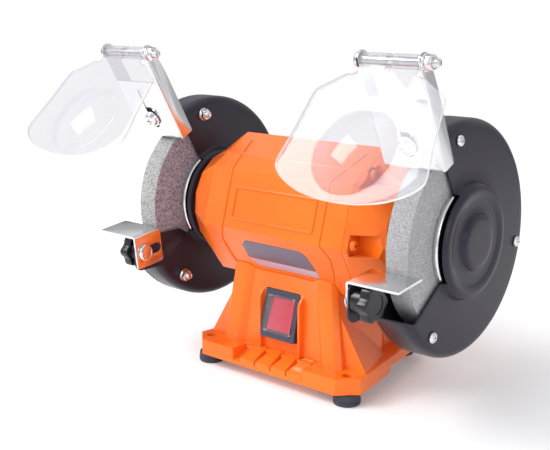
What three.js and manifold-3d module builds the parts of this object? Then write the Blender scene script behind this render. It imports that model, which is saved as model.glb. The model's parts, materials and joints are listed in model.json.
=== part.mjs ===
// Double-ended bench grinder: a cast base and an octagonal motor that carries two guarded wheels,
// with tool rests and clear eye shields. Millimetres, +Z up, -Y is the side the user stands on.
// The working frame has x = 0 midway between the wheels, y = 0 on the shaft and z = 0 on the floor;
// the finished group is moved so that the origin is under the middle of its bounding box.
import * as THREE from "three";
import { mergeVertices } from "three/addons/utils/BufferGeometryUtils.js";
import Module from "manifold-3d";

const wasm = await Module();
wasm.setup();

// ---- driving dimensions ----
const GAP = 0.35; // clearance left between pieces that touch
const SHAFT_HEIGHT = 110.3;
const WHEEL = { diameter: 125, width: 16, bore: 12.8, centre: 108.35 };
const GUARD = {
  radius: 76.35,
  wall: 1.2,
  depth: 27.2,
  band: 21,
  edgeRadius: 6,
  mouthTop: 60,
  mouthBottom: -35.5,
  boss: 38.5,
  bossHeight: 7,
  lip: 36.8,
  faceRight: 119.2,
  faceLeft: -98,
};
const GUARD_SCREWS = { angles: [77, -55, -169], circle: 66, shank: 2.2, head: 3.7, nut: 4.1, washer: 4.6 };
const BARREL = { apothem: 49.7, half: 60.5, turn: 16, wall: 2.6 };
const BELL = { end: 84, radius: 38.5, neck: 29, wall: 3, seal: 14.4, drop: 7.1 };
const TIE = { head: 3.6, shank: 2, pocket: 7, inside: 7, seat: 64, boss: 4 };
const TIE_BOLTS = [
  [-46.2, 106.7],
  [45.2, 107.6],
  [-26, 149],
  [26, 149],
];
const SHAFT = { journal: 6.1, core: 8, thread: 5.8 };
const STACK = { half: 24, outer: 46, bore: 27.6, rotor: 26.8, coil: 40 };
const FLANGE = { thick: 3.4, radius: 36.6, recess: 24, lip: 2.9, bore: 6.35 };
const NUT = { thick: 5, radius: 10.9 };
const BASE = {
  foot: 8,
  flange: 19,
  wall: 3,
  front: -57,
  rear: 68,
  chamfer: 12,
  frontHalf: 72,
  rearHalf: 55,
  archFrom: 0,
  archTo: 51,
  archTop: 12.5,
  plate: 12.9,
};
const FOOT = { radius: 9.1, stem: 3.1, pad: 9 };
const FEET = {
  front_left: [-61.5, -45.6],
  front_right: [61.5, -45.6],
  rear_left: [-35.5, 57],
  rear_right: [35.5, 57],
};
const PEDESTAL = {
  bottom: { z: 15, x: 53.6, front: 43.4, rearX: 47, rear: 47, inner: 39.6, recess: 4 },
  top: { z: 86, x: 43.6, front: 38.2, rearX: 43.6, rear: 38.2, inner: 29, recess: 1.5 },
};
// Buttresses at the pedestal's sides, each between two upright sections at y. x is its foot and
// z its top.
const BUTTRESSES = [
  [
    { y: 4, x: 56.5, z: 33 },
    { y: -36, x: 70, z: 64 },
  ],
  [
    { y: 36, x: 55.5, z: 50 },
    { y: 33, x: 56, z: 50 },
  ],
];
const LOUVRE = {
  x: [-16.5, -2.5, 11.5, 25.5],
  from: -30,
  to: 32.3,
  back: 4.2,
  front: 6.4,
  high: 20,
  low: 14,
};
const FIN = { x: 17.6, thick: 1.8, front: -42.6, low: 19.5, high: 64.5 };
const SWITCH = { x: 15, y: 17, low: 28.5, high: 61, lean: 13, rim: 5.2, sunk: 2 };
const ROCKER = { depth: 6.5, half: 11.5, width: 10.3, lift: 2.8 };
const CAPACITOR = { half: 24, radius: 12, y: 6, z: 36 };
const GLAND = { x: -12, z: 32, bore: 3.7, thread: 5.9 };
const BRACKET = {
  width: 43,
  sheet: 1.2,
  depth: 11.4,
  web: 47.5,
  low: [-43.4, 159.5],
  hingeUp: 69,
  hingeBack: 4.6,
  bolt: 16.5,
  slotLow: 11.5,
  slotHigh: 38,
};
const TAB = { half: 6.4, low: 6.6, high: 24 };
const HINGE = { shank: 2.5, head: 4.8, tail: 9.6, washer: 5.2, nut: 4.6 };
const SHIELD = { sheet: 1.8, lens: 26.5, lensAt: 58.5, knuckle: 4.3, dome: 7, neck: 19.6 };
const REST = { width: 37, depth: 24.2, drop: 24.5, sheet: 1.5, tilt: 7, top: 13.4, slot: 3.5, travel: 12 };
const KNOB = { hubRadius: 7.8, star: 10.7, lobe: 1, lobes: 6, thick: 7, grip: 4 };
const M6 = 2.9; // shank radius of the rest and bracket bolts
const FACETS = { guard: 30, wheel: 32, flange: 16, shaft: 12, core: 16, lens: 16, head: 10, bolt: 8 };

// One entry per end of the machine. out points from the motor to that end, lean and shieldTilt are
// measured from the vertical, restBolt is (y, z) and hub is how far the knob's star stands off.
const SIDES = {
  left: {
    out: -1,
    face: GUARD.faceLeft,
    lean: 30,
    shieldTilt: 43,
    restBolt: [-77, 81.5],
    restFront: -8,
    hub: 3.5,
  },
  right: {
    out: 1,
    face: GUARD.faceRight,
    lean: 25,
    shieldTilt: 35,
    restBolt: [-81, 85],
    restFront: -5.5,
    hub: 7.5,
  },
};

const rad = THREE.MathUtils.degToRad;
const sweep = (n, make) => Array.from({ length: n }, (_, i) => make(i));
const ordered = (a, b) => [Math.min(a, b), Math.max(a, b)];

// ---- solids ----
function solid(geometry) {
  const bare = geometry.index ? geometry.toNonIndexed() : geometry.clone();
  bare.deleteAttribute("normal");
  bare.deleteAttribute("uv");
  const merged = mergeVertices(bare, 1e-4);
  return new wasm.Manifold(
    new wasm.Mesh({
      numProp: 3,
      vertProperties: new Float32Array(merged.attributes.position.array),
      triVerts: new Uint32Array(merged.index.array),
    }),
  );
}

function geometryOf(made) {
  const mesh = made.getMesh();
  const points = new Float32Array(mesh.numVert * 3);
  for (let i = 0; i < mesh.numVert; i++) {
    points.set(mesh.vertProperties.subarray(i * mesh.numProp, i * mesh.numProp + 3), i * 3);
  }
  return new THREE.BufferGeometry()
    .setAttribute("position", new THREE.BufferAttribute(points, 3))
    .setIndex(new THREE.BufferAttribute(mesh.triVerts, 1));
}

const union = (...parts) => parts.reduce((a, b) => a.add(b));
const cut = (body, ...tools) => tools.reduce((a, b) => a.subtract(b), body);
const common = (a, b) => a.intersect(b);

// Turns a geometry made in its own x, y, z so that those axes point along the three given vectors.
function oriented(geometry, x, y, z, at = [0, 0, 0]) {
  const basis = new THREE.Matrix4().makeBasis(
    new THREE.Vector3(...x),
    new THREE.Vector3(...y),
    new THREE.Vector3(...z),
  );
  basis.setPosition(...at);
  return geometry.applyMatrix4(basis);
}

// A closed [x, radius] profile turned about a line along X, by default the shaft's.
function turned(profile, segments, y = 0, z = SHAFT_HEIGHT) {
  const area = profile.reduce((sum, [x, r], i) => {
    const [nextX, nextR] = profile[(i + 1) % profile.length];
    return sum + x * nextR - nextX * r;
  }, 0);
  const wound = area < 0 ? profile : [...profile].reverse();
  const open = wound.every(([, r]) => r > 0) ? [...wound, wound[0]] : startOnAxis(wound);
  const points = open.map(([x, r]) => new THREE.Vector2(r, x));
  const lathe = new THREE.LatheGeometry(points, segments);
  return solid(oriented(lathe, [0, 1, 0], [1, 0, 0], [0, 0, -1], [0, y, z]));
}

// Rotates a profile's list so that it begins and ends with its points on the axis.
function startOnAxis(profile) {
  const n = profile.length;
  const first = profile.findIndex(([, r], i) => r === 0 && profile[(i - 1 + n) % n][1] === 0);
  return sweep(n, (i) => profile[(first + i) % n]);
}

function rod(x0, x1, radius, segments, y, z) {
  const profile = [
    [x0, 0],
    [x0, radius],
    [x1, radius],
    [x1, 0],
  ];
  return turned(profile, segments, y, z);
}

function extruded(shape, depth, curveSegments = 4) {
  return new THREE.ExtrudeGeometry(shape, { depth, bevelEnabled: false, curveSegments });
}

// A shape drawn in (y, z) and given thickness along X between xa and xb.
function slabX(shape, xa, xb) {
  const [x0, x1] = ordered(xa, xb);
  return solid(oriented(extruded(shape, x1 - x0), [0, 1, 0], [0, 0, 1], [1, 0, 0], [x0, 0, 0]));
}

// A shape drawn in (x, y) and given height along Z between z0 and z1.
const slabZ = (shape, z0, z1) => solid(extruded(shape, z1 - z0).translate(0, 0, z0));

function boxAt(xa, xb, y0, y1, z0, z1) {
  const [x0, x1] = ordered(xa, xb);
  const box = new THREE.BoxGeometry(x1 - x0, y1 - y0, z1 - z0);
  return solid(box.translate((x0 + x1) / 2, (y0 + y1) / 2, (z0 + z1) / 2));
}

// A filled outline. ExtrudeGeometry winds it the right way round by itself.
const polygon = (points) => new THREE.Shape(points.map(([a, b]) => new THREE.Vector2(a, b)));

// A list of points with x > 0 followed by its mirror image, back to the start.
const mirrored = (half) => [...half, ...[...half].reverse().map(([a, b]) => [-a, b])];

function roundedRect(halfX, y0, y1, r) {
  const shape = new THREE.Shape();
  shape.absarc(halfX - r, y0 + r, r, -Math.PI / 2, 0);
  shape.absarc(halfX - r, y1 - r, r, 0, Math.PI / 2);
  shape.absarc(r - halfX, y1 - r, r, Math.PI / 2, Math.PI);
  shape.absarc(r - halfX, y0 + r, r, Math.PI, 1.5 * Math.PI);
  return shape;
}

// A stadium from (x0, 0) to (x1, 0).
function slotShape(x0, x1, halfWidth) {
  const shape = new THREE.Shape();
  shape.absarc(x1, 0, halfWidth, -Math.PI / 2, Math.PI / 2);
  shape.absarc(x0, 0, halfWidth, Math.PI / 2, 1.5 * Math.PI);
  return shape;
}

// A skin through rings of equal point count, closed at both ends. Each ring runs counter-clockwise
// seen from the far end of the row of rings.
function loft(rings) {
  const n = rings[0].length;
  const points = rings.flat();
  const centre = (ring) => [0, 1, 2].map((k) => ring.reduce((sum, p) => sum + p[k], 0) / n);
  points.push(centre(rings[0]), centre(rings.at(-1)));
  const [start, end] = [points.length - 2, points.length - 1];
  const index = [];
  for (let k = 0; k < rings.length - 1; k++) {
    for (let i = 0; i < n; i++) {
      const [a, b] = [k * n + i, k * n + ((i + 1) % n)];
      index.push(a, b, b + n, a, b + n, a + n);
    }
  }
  const last = (rings.length - 1) * n;
  for (let i = 0; i < n; i++) {
    index.push(start, (i + 1) % n, i, end, last + i, last + ((i + 1) % n));
  }
  const geometry = new THREE.BufferGeometry();
  geometry.setAttribute("position", new THREE.Float32BufferAttribute(points.flat(), 3));
  geometry.setIndex(index);
  return solid(geometry);
}

// ---- materials and scene ----
const FINISH = {
  orange: { color: 0xf26a1e, roughness: 0.45, metalness: 0 },
  guard: { color: 0x46434c, roughness: 0.42, metalness: 0.2 },
  zinc: { color: 0xd4d6da, roughness: 0.22, metalness: 1 },
  steel: { color: 0x9a9ca0, roughness: 0.35, metalness: 1 },
  light_grit: { color: 0xb9b9b7, roughness: 0.95, metalness: 0 },
  dark_grit: { color: 0x8d8790, roughness: 0.95, metalness: 0 },
  clear: { color: 0xf2f4f8, roughness: 0.05, metalness: 0 },
  black: { color: 0x222226, roughness: 0.4, metalness: 0 },
  rubber: { color: 0x3b3f48, roughness: 0.8, metalness: 0 },
  red: { color: 0xe02840, roughness: 0.25, metalness: 0 },
  copper: { color: 0xb5692e, roughness: 0.4, metalness: 1 },
};

const machine = new THREE.Group();

function add(name, finish, made) {
  const mesh = new THREE.Mesh(geometryOf(made), new THREE.MeshStandardMaterial(FINISH[finish]));
  mesh.name = name;
  machine.add(mesh);
}

// ---- octagonal motor ----
// Angle of the octagon's k-th corner, measured from the front upwards.
const cornerAngle = (k) => rad(BARREL.turn) + Math.PI / 8 + (k * Math.PI) / 4;

const aroundShaft = (x, r, angle) => [x, -r * Math.cos(angle), SHAFT_HEIGHT + r * Math.sin(angle)];

// The octagon at x, with perSide points on each of its sides.
function octagonRing(x, apothem, perSide) {
  const radius = apothem / Math.cos(Math.PI / 8);
  return sweep(8 * perSide, (i) => {
    const [k, t] = [Math.floor(i / perSide), (i % perSide) / perSide];
    const a = aroundShaft(x, radius, cornerAngle(k));
    const b = aroundShaft(x, radius, cornerAngle(k + 1));
    return a.map((value, axis) => value + (b[axis] - value) * t);
  });
}

const circleRing = (x, radius, perSide) =>
  sweep(8 * perSide, (i) => aroundShaft(x, radius, cornerAngle(i / perSide)));

// These rings run round the front over the top, so a loft has to go towards -X.
const shaftLoft = (a, b) => loft(a[0][0] > b[0][0] ? [a, b] : [b, a]);

const barrelBody = (half, apothem) =>
  shaftLoft(octagonRing(half, apothem, 1), octagonRing(-half, apothem, 1));

function motorShell() {
  const { half, apothem, wall } = BARREL;
  const shell = cut(barrelBody(half, apothem), barrelBody(half + 1, apothem - wall));
  const bosses = TIE_BOLTS.map(([y, z]) => rod(-half, half, TIE.boss, FACETS.bolt, y, z));
  const holes = TIE_BOLTS.map(([y, z]) => rod(-half - 1, half + 1, TIE.shank + GAP, FACETS.bolt, y, z));
  const bottom = SHAFT_HEIGHT - apothem;
  const wireWay = boxAt(-12, 12, -12, 12, bottom - 10, bottom + 10);
  return cut(union(shell, ...bosses), ...holes, wireWay);
}

// The pocket in the right bell that leaves a tie bolt's head open to the side and outwards. grow makes
// it larger on its closed sides, for the walls that it is cut into.
function tiePocket([y, z], grow = 0) {
  const away = 30;
  const near = TIE.inside + grow;
  const [y0, y1] = y > 0 ? [y - near, y + away] : [y - away, y + near];
  const level = Math.abs(z - SHAFT_HEIGHT) < 20;
  const half = TIE.pocket + grow;
  const [z0, z1] = level ? [z - half, z + half] : [z - near, z + away];
  return boxAt(TIE.seat - grow, BELL.end + 12, y0, y1, z0, z1);
}

function endBell(side) {
  const { out, face } = SIDES[side];
  const { apothem, half } = BARREL;
  const start = half + GAP;
  const guardBack = out > 0 ? face - GUARD.depth : -face - BELL.drop;
  const neckEnd = guardBack - GAP;
  const outer = shaftLoft(octagonRing(out * start, apothem, 2), circleRing(out * BELL.end, BELL.radius, 2));
  const room = shaftLoft(
    octagonRing(out * (half - 1), apothem - BELL.wall, 1),
    octagonRing(out * (BELL.end - 5), 26, 1),
  );
  const neck = rod(out * (BELL.end - 1), out * neckEnd, BELL.neck, FACETS.core);
  const seal = rod(out * (BELL.end - 8), out * (neckEnd - 4), BELL.seal, FACETS.core);
  const shaftWay = rod(out * (BELL.end - 8), out * 100, SHAFT.core, FACETS.core);
  const shell = cut(cut(union(outer, neck), room), seal, shaftWay);
  return out > 0 ? pocketed(shell, outer) : tapped(shell, outer);
}

const tieHoles = (x0, x1) =>
  TIE_BOLTS.map(([y, z]) => rod(x0, x1, TIE.shank + GAP, FACETS.bolt, y, z));

// The right bell's four pockets, with the seats that the bolts' heads bear on.
function pocketed(shell, outer) {
  const from = BARREL.half + GAP;
  const walls = TIE_BOLTS.map((at) => common(outer, tiePocket(at, 2)));
  const pockets = TIE_BOLTS.map((at) => tiePocket(at));
  const seats = TIE_BOLTS.map(([y, z]) => rod(from, TIE.seat, 5.2, FACETS.bolt, y, z));
  const cast = cut(union(shell, ...walls), ...pockets);
  return cut(union(cast, ...seats), ...tieHoles(from - 1, TIE.seat + 1));
}

// The left bell's four inner bosses, which the bolts screw into.
function tapped(shell, outer) {
  const from = BARREL.half + GAP;
  const bosses = TIE_BOLTS.map(([y, z]) =>
    common(outer, rod(-from, -TIE.seat - 5, 5.2, FACETS.bolt, y, z)),
  );
  return cut(union(shell, ...bosses), ...tieHoles(1 - from, -TIE.seat - 1));
}

function tieBolt([y, z]) {
  const seat = TIE.seat + GAP;
  const head = rod(seat, seat + 3.6, TIE.head, FACETS.head, y, z);
  return union(head, rod(-TIE.seat, seat + 1, TIE.shank, FACETS.bolt, y, z));
}

function stator() {
  const clearance = TIE_BOLTS.map(([y, z]) => rod(-60, 60, TIE.boss + 2 * GAP, FACETS.bolt, y, z));
  const ring = rod(-STACK.half, STACK.half, STACK.outer, 24);
  return cut(ring, rod(-STACK.half - 1, STACK.half + 1, STACK.bore, 24), ...clearance);
}

// A wire coil's end turns: a ring that narrows away from the stator.
function winding(out) {
  const profile = [
    [STACK.half + GAP, 29],
    [STACK.half + GAP, 41],
    [35, 41],
    [STACK.coil, 37],
    [STACK.coil, 29],
  ];
  return turned(
    profile.map(([x, r]) => [out * x, r]),
    FACETS.core,
  );
}

// Shielded ball bearing drawn as one ring with a groove in its face.
function bearing(out) {
  const [inner, outer] = [BELL.end - 7.6, BELL.end + 2.4];
  const profile = [
    [inner, 6.45],
    [inner, 9],
    [inner + 0.8, 10],
    [inner, 11],
    [inner, 13.8],
    [outer, 13.8],
    [outer, 6.45],
  ];
  return turned(
    profile.map(([x, r]) => [out * x, r]),
    FACETS.core,
  );
}

// ---- shaft and wheels ----
const wheelFaces = (out) => [out * (WHEEL.centre - WHEEL.width / 2), out * (WHEEL.centre + WHEEL.width / 2)];

function shaft() {
  const end = WHEEL.centre + WHEEL.width / 2 + 2 * GAP + FLANGE.thick + NUT.thick + 0.4;
  const shoulder = WHEEL.centre - WHEEL.width / 2 - FLANGE.thick - 2 * GAP;
  const right = [
    [BELL.end - 8, SHAFT.core],
    [BELL.end - 8, SHAFT.journal],
    [shoulder, SHAFT.journal],
    [shoulder, SHAFT.thread],
    [end, SHAFT.thread],
    [end, 0],
  ];
  const left = [...right].reverse().map(([x, r]) => [-x, r]);
  return turned([...left, ...right], FACETS.shaft);
}

function rotorCore() {
  const half = STACK.half + 1;
  return cut(rod(-half, half, STACK.rotor, 20), rod(-half - 1, half + 1, SHAFT.core + GAP, FACETS.shaft));
}

function grindingWheel(out) {
  const [a, b] = wheelFaces(out);
  const profile = [
    [a, WHEEL.bore / 2],
    [a, WHEEL.diameter / 2],
    [b, WHEEL.diameter / 2],
    [b, WHEEL.bore / 2],
  ];
  return turned(profile, FACETS.wheel);
}

// A dished clamping flange: its rim bears on the wheel at x = face and it stands off along dir.
function clampFlange(face, dir) {
  const { thick, radius, recess, lip, bore } = FLANGE;
  const dish = 0.6;
  const profile = [
    [0, recess],
    [0, radius],
    [lip, radius],
    [thick, radius - 1],
    [thick, bore],
    [dish, bore],
    [dish, recess],
  ];
  return turned(
    profile.map(([d, r]) => [face + dir * (GAP + d), r]),
    FACETS.flange,
  );
}

function arborNut(out) {
  const face = out * (WHEEL.centre + WHEEL.width / 2 + 2 * GAP + FLANGE.thick);
  const end = face + out * NUT.thick;
  return cut(rod(face, end, NUT.radius, 6), rod(face - out, end + out, SHAFT.journal, FACETS.shaft));
}

// ---- wheel guards ----
const onCircle = (r, degrees) => [-r * Math.cos(rad(degrees)), SHAFT_HEIGHT + r * Math.sin(rad(degrees))];

// The wedge that the mouth takes out, with the boss left whole within its lip. Its lower edge turns up where
// it crosses the guard's rim.
function mouthCutter(x0, x1) {
  const far = 120;
  const wedge = polygon([
    [0, SHAFT_HEIGHT],
    onCircle(far, GUARD.mouthTop),
    [-far, SHAFT_HEIGHT + 60],
    [-far, SHAFT_HEIGHT - 18],
    onCircle(70.5, GUARD.mouthBottom),
  ]);
  return cut(slabX(wedge, x0, x1), rod(x0 - 1, x1 + 1, GUARD.lip, FACETS.guard));
}

// The ear that holds the tool rest, forward of the guard and level with the rest's tab.
function ear(x0, x1, boltAt) {
  const shape = new THREE.Shape();
  const [front, bottom, top] = [boltAt[0] - 7.4, boltAt[1] - 13.6, boltAt[1] + 10.6];
  const [r, chamfer] = [6, 3];
  shape.moveTo(-40, top);
  shape.lineTo(front + chamfer, top);
  shape.lineTo(front, top - chamfer);
  shape.lineTo(front, bottom + r);
  shape.absarc(front + r, bottom + r, r, Math.PI, 1.5 * Math.PI);
  shape.lineTo(-48, bottom);
  shape.lineTo(-34, top - 4);
  const hole = new THREE.Path();
  hole.absarc(...boltAt, M6 + GAP, 0, 2 * Math.PI);
  shape.holes.push(hole);
  return slabX(shape, x0, x1);
}

const screwHoles = (x0, x1) =>
  GUARD_SCREWS.angles.map((angle) =>
    rod(x0, x1, GUARD_SCREWS.shank + GAP, 6, ...onCircle(GUARD_SCREWS.circle, angle)),
  );

// The cup's rounded edge between its band and its closed face, inset by the sheet's thickness.
function cupEdge(face, inset) {
  const { radius, edgeRadius } = GUARD;
  const r = edgeRadius - inset;
  return sweep(3, (i) => {
    const a = rad(90 - 45 * i);
    return [face - edgeRadius + r * Math.cos(a), radius - edgeRadius + r * Math.sin(a)];
  });
}

// Middle of the cup's face: the right one has a raised cap, the left one a hole for the shaft.
function cupMiddle(side, top) {
  const t = GUARD.wall;
  if (side === "left") {
    return [
      [top, 13],
      [top - t, 13],
    ];
  }
  return [
    [top, 18.4],
    [top + 2.2, 15.8],
    [top + 2.2, 0],
    [top + 2.2 - t, 0],
    [top + 2.2 - t, 15.2],
    [top - t, 17.8],
  ];
}

// Deep-drawn cup with its closed face towards +X, open at the mouth.
function guardCup(side) {
  const { face, restBolt } = SIDES[side];
  const { radius, wall: t, band, boss, bossHeight } = GUARD;
  const top = face + bossHeight;
  const profile = [
    [face - band, radius],
    ...cupEdge(face, 0),
    [face, boss],
    [face + 4.4, boss - 1.4],
    [top, boss - 5],
    ...cupMiddle(side, top),
    [top - t, boss - 5.6],
    [face + 3.2, boss - 2.1],
    [face - t, boss - 0.8],
    ...cupEdge(face, t).reverse(),
    [face - band, radius - t],
  ];
  const bowl = turned(profile, FACETS.guard);
  const cup = cut(bowl, mouthCutter(face - 40, face + 20), ...screwHoles(face - 40, face + 10));
  const whole = union(cup, bracketTab(side));
  return side === "left" ? union(whole, ear(face - t, face, restBolt)) : whole;
}

// Middle of the plate: open round the shaft on the right, a pressed-out cap on the left.
function plateMiddle(side, back) {
  const t = GUARD.wall;
  if (side === "right") {
    return [
      [back, 13],
      [back + t, 13],
    ];
  }
  return [
    [back, 25],
    [back - 5.6, 20],
    [back - 5.6, 0],
    [back - 5.6 + t, 0],
    [back - 5.6 + t, 19.2],
    [back + t, 24.2],
  ];
}

// Shallow dish that closes the guard on its -X side.
function guardPlate(side) {
  const { face, restBolt } = SIDES[side];
  const { radius, wall: t, depth, band } = GUARD;
  const [back, rim] = [face - depth, face - band - GAP];
  const profile = [
    [rim, radius],
    [back + 3, radius - 1.4],
    [back, radius - 5],
    ...plateMiddle(side, back),
    [back + t, radius - 6],
    [rim, radius - 2 * t],
  ];
  const plate = cut(
    turned(profile, FACETS.guard),
    mouthCutter(back - 10, rim + 5),
    ...screwHoles(back - 10, rim + 10),
  );
  return side === "right" ? union(plate, ear(back, back + t, restBolt)) : plate;
}

// Pan-head screw put in from the outer side of the guard, with its nut and washer on the motor side.
function guardScrew(side, angle) {
  const { face, out } = SIDES[side];
  const { circle, shank, head, nut, washer } = GUARD_SCREWS;
  const [outer, inner] = out > 0 ? [face, face - GUARD.depth] : [face - GUARD.depth, face];
  const at = onCircle(circle, angle);
  return union(
    rod(outer + out * GAP, outer + out * 2.6, head, FACETS.bolt, ...at),
    rod(inner - out * 1.3, inner - out * GAP, washer, FACETS.bolt, ...at),
    rod(inner - out * 4.6, inner - out * 1.3, nut, 6, ...at),
    rod(inner - out * 7.4, outer + out, shank, 6, ...at),
  );
}

// ---- spark-arrestor brackets and eye shields ----
const guardMiddle = (side) => SIDES[side].face - GUARD.depth / 2;

// (y, z) of a bracket's local (up, back), counted from the lower edge of its web's front face.
function bracketPoint(side, up, back) {
  const lean = rad(SIDES[side].lean);
  const [y, z] = BRACKET.low;
  return [
    y - up * Math.sin(lean) + back * Math.cos(lean),
    z + up * Math.cos(lean) + back * Math.sin(lean),
  ];
}

const hingeAxis = (side) => bracketPoint(side, BRACKET.hingeUp, BRACKET.hingeBack);

// Puts a geometry whose own axes are x across, y up the web and z forwards onto the bracket.
function onBracket(side, geometry, up, back) {
  const lean = rad(SIDES[side].lean);
  const across = [1, 0, 0];
  const upWeb = [0, -Math.sin(lean), Math.cos(lean)];
  const forward = [0, -Math.cos(lean), -Math.sin(lean)];
  const at = [guardMiddle(side), ...bracketPoint(side, up, back)];
  return solid(oriented(geometry, across, upWeb, forward, at));
}

// Side outline of the bracket's cheeks in (up, back), rounded about the hinge.
function cheekOutline() {
  const { depth, web, hingeUp, hingeBack } = BRACKET;
  const eye = 5.6;
  const round = sweep(5, (i) => {
    const a = rad(62 - 37.5 * i);
    return [hingeUp + eye * Math.cos(a), hingeBack + eye * Math.sin(a)];
  });
  const rear = [[0, depth], [web + 1.5, depth], [hingeUp - 2, hingeBack + 5.4]];
  return [[0, 0], ...rear, ...round, [hingeUp - 8, 0]];
}

function shieldBracket(side) {
  const { width, sheet, web, slotLow, slotHigh } = BRACKET;
  const x = guardMiddle(side);
  const half = width / 2;
  const outline = polygon(cheekOutline().map(([up, back]) => bracketPoint(side, up, back)));
  const front = extruded(roundedRect(half, 0, web, 1.5), sheet, 2);
  const slot = extruded(slotShape(slotLow, slotHigh, M6 + GAP), 4).rotateZ(Math.PI / 2);
  const body = union(
    onBracket(side, front, 0, sheet),
    slabX(outline, x - half, x - half + sheet),
    slabX(outline, x + half - sheet, x + half),
  );
  const pin = rod(x - half - 1, x + half + 1, HINGE.shank + GAP, FACETS.bolt, ...hingeAxis(side));
  return cut(body, onBracket(side, slot, 0, 3), pin);
}

// Folded tab on the guard's rim that the bracket is clamped to.
function bracketTab(side) {
  const x = guardMiddle(side);
  const { radius, wall, mouthTop } = GUARD;
  const near = BRACKET.sheet + GAP;
  const far = near + wall;
  const outline = [
    onCircle(radius - wall, mouthTop + 3),
    onCircle(radius - wall, mouthTop),
    bracketPoint(side, TAB.low, near),
    bracketPoint(side, TAB.high, near),
    bracketPoint(side, TAB.high, far),
    bracketPoint(side, TAB.low + 1.3, far),
    onCircle(radius, mouthTop),
    onCircle(radius, mouthTop + 3),
  ];
  const hole = new THREE.CylinderGeometry(M6 + GAP, M6 + GAP, 10, FACETS.bolt).rotateX(Math.PI / 2);
  const tab = slabX(polygon(outline), x - TAB.half, x + TAB.half);
  return cut(tab, onBracket(side, hole, BRACKET.bolt, near));
}

// Clamp bolt with its washer and cross-headed screw in front and its nut behind the tab.
function bracketBolt(side) {
  const turnedPiece = (r0, r1, from, to, n) => {
    const made = new THREE.CylinderGeometry(r0, r1, from - to, n).rotateX(Math.PI / 2);
    return onBracket(side, made.translate(0, 0, (from + to) / 2), BRACKET.bolt, 0);
  };
  const back = BRACKET.sheet + GUARD.wall + 2 * GAP;
  return union(
    turnedPiece(6.2, 6.2, 1.5, GAP, 12),
    turnedPiece(3.6, 5.2, 4.4, 1.5, 12),
    turnedPiece(M6, M6, 2, -back - 6, FACETS.bolt),
    turnedPiece(5, 5, -back, -back - 4.2, 6),
  );
}

function hingeBolt(side) {
  const x = guardMiddle(side);
  const low = x - BRACKET.width / 2 - GAP;
  const axis = hingeAxis(side);
  const head = [
    [low, 0],
    [low, HINGE.head],
    [low - 1.8, HINGE.head - 0.7],
    [low - 3.2, 0],
  ];
  const shank = rod(low - 1, x + BRACKET.width / 2 + HINGE.tail, HINGE.shank, FACETS.bolt, ...axis);
  return union(turned(head, FACETS.head, ...axis), shank);
}

function hingeNut(side) {
  const high = guardMiddle(side) + BRACKET.width / 2 + GAP;
  const axis = hingeAxis(side);
  const washer = rod(high, high + 1.2, HINGE.washer, 12, ...axis);
  const nut = rod(high + 1.2, high + 5.6, HINGE.nut, 6, ...axis);
  return cut(union(washer, nut), rod(high - 1, high + 7, HINGE.shank + GAP, FACETS.bolt, ...axis));
}

// Half of the shield's outline: x across, y down the sheet from the hinge axis.
const SHIELD_EDGE = [
  [26, 10.5],
  [31, 11.6],
  [40, 20],
  [43, 26],
  [46, 48],
  [50, 68],
  [49, 73.5],
  [43, 79],
  [30, 85.2],
  [14, 88.6],
];

// The lens bulge as a shallow spherical cap whose skirt starts just behind z = base.
function lensCap(base) {
  const { lens, lensAt, dome } = SHIELD;
  const sphere = (lens * lens + dome * dome) / (2 * dome);
  const open = Math.asin(lens / sphere);
  const arc = sweep(3, (i) => {
    const a = (open * (3 - i)) / 3;
    return new THREE.Vector2(sphere * Math.sin(a), sphere * Math.cos(a) - sphere + dome);
  });
  const skirt = [new THREE.Vector2(0, -1), new THREE.Vector2(lens, -1)];
  const profile = [...skirt, ...arc, new THREE.Vector2(0, dome)];
  return new THREE.LatheGeometry(profile, FACETS.lens).rotateX(Math.PI / 2).translate(0, lensAt, base);
}

function eyeShield(side) {
  const { sheet, knuckle, neck } = SHIELD;
  const tilt = rad(SIDES[side].shieldTilt);
  const axis = hingeAxis(side);
  const x = guardMiddle(side);
  const across = [-1, 0, 0];
  const down = [0, -Math.sin(tilt), -Math.cos(tilt)];
  const facing = [0, -Math.cos(tilt), Math.sin(tilt)];
  const place = (geometry) => solid(oriented(geometry, across, down, facing, [x, ...axis]));
  const strap = [
    [neck, 0],
    [neck, 12],
  ];
  const body = union(
    place(extruded(polygon(mirrored(SHIELD_EDGE)), sheet)),
    place(extruded(polygon(mirrored(strap)), sheet)),
    rod(x - neck, x + neck, knuckle, 14, ...axis),
    place(lensCap(sheet)),
  );
  const between = place(geometryOf(boxAt(-1.5, 1.5, -8, 7, -8, 8)));
  const bore = rod(x - neck - 1, x + neck + 1, HINGE.shank + GAP, FACETS.bolt, ...axis);
  return cut(body, place(lensCap(0)), between, bore);
}

// ---- tool rests ----
// The ear's two faces along X: the one towards the motor, then the one towards the wheel.
function earFaces(side) {
  const { face } = SIDES[side];
  const back = face - GUARD.depth;
  return side === "left" ? [face, face - GUARD.wall] : [back, back + GUARD.wall];
}

// (y, z) of a rest's local (back, up), tilted about its bolt.
function restPoint(side, back, up) {
  const [y, z] = SIDES[side].restBolt;
  const tilt = rad(REST.tilt);
  return [
    y + back * Math.cos(tilt) - up * Math.sin(tilt),
    z + back * Math.sin(tilt) + up * Math.cos(tilt),
  ];
}

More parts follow.
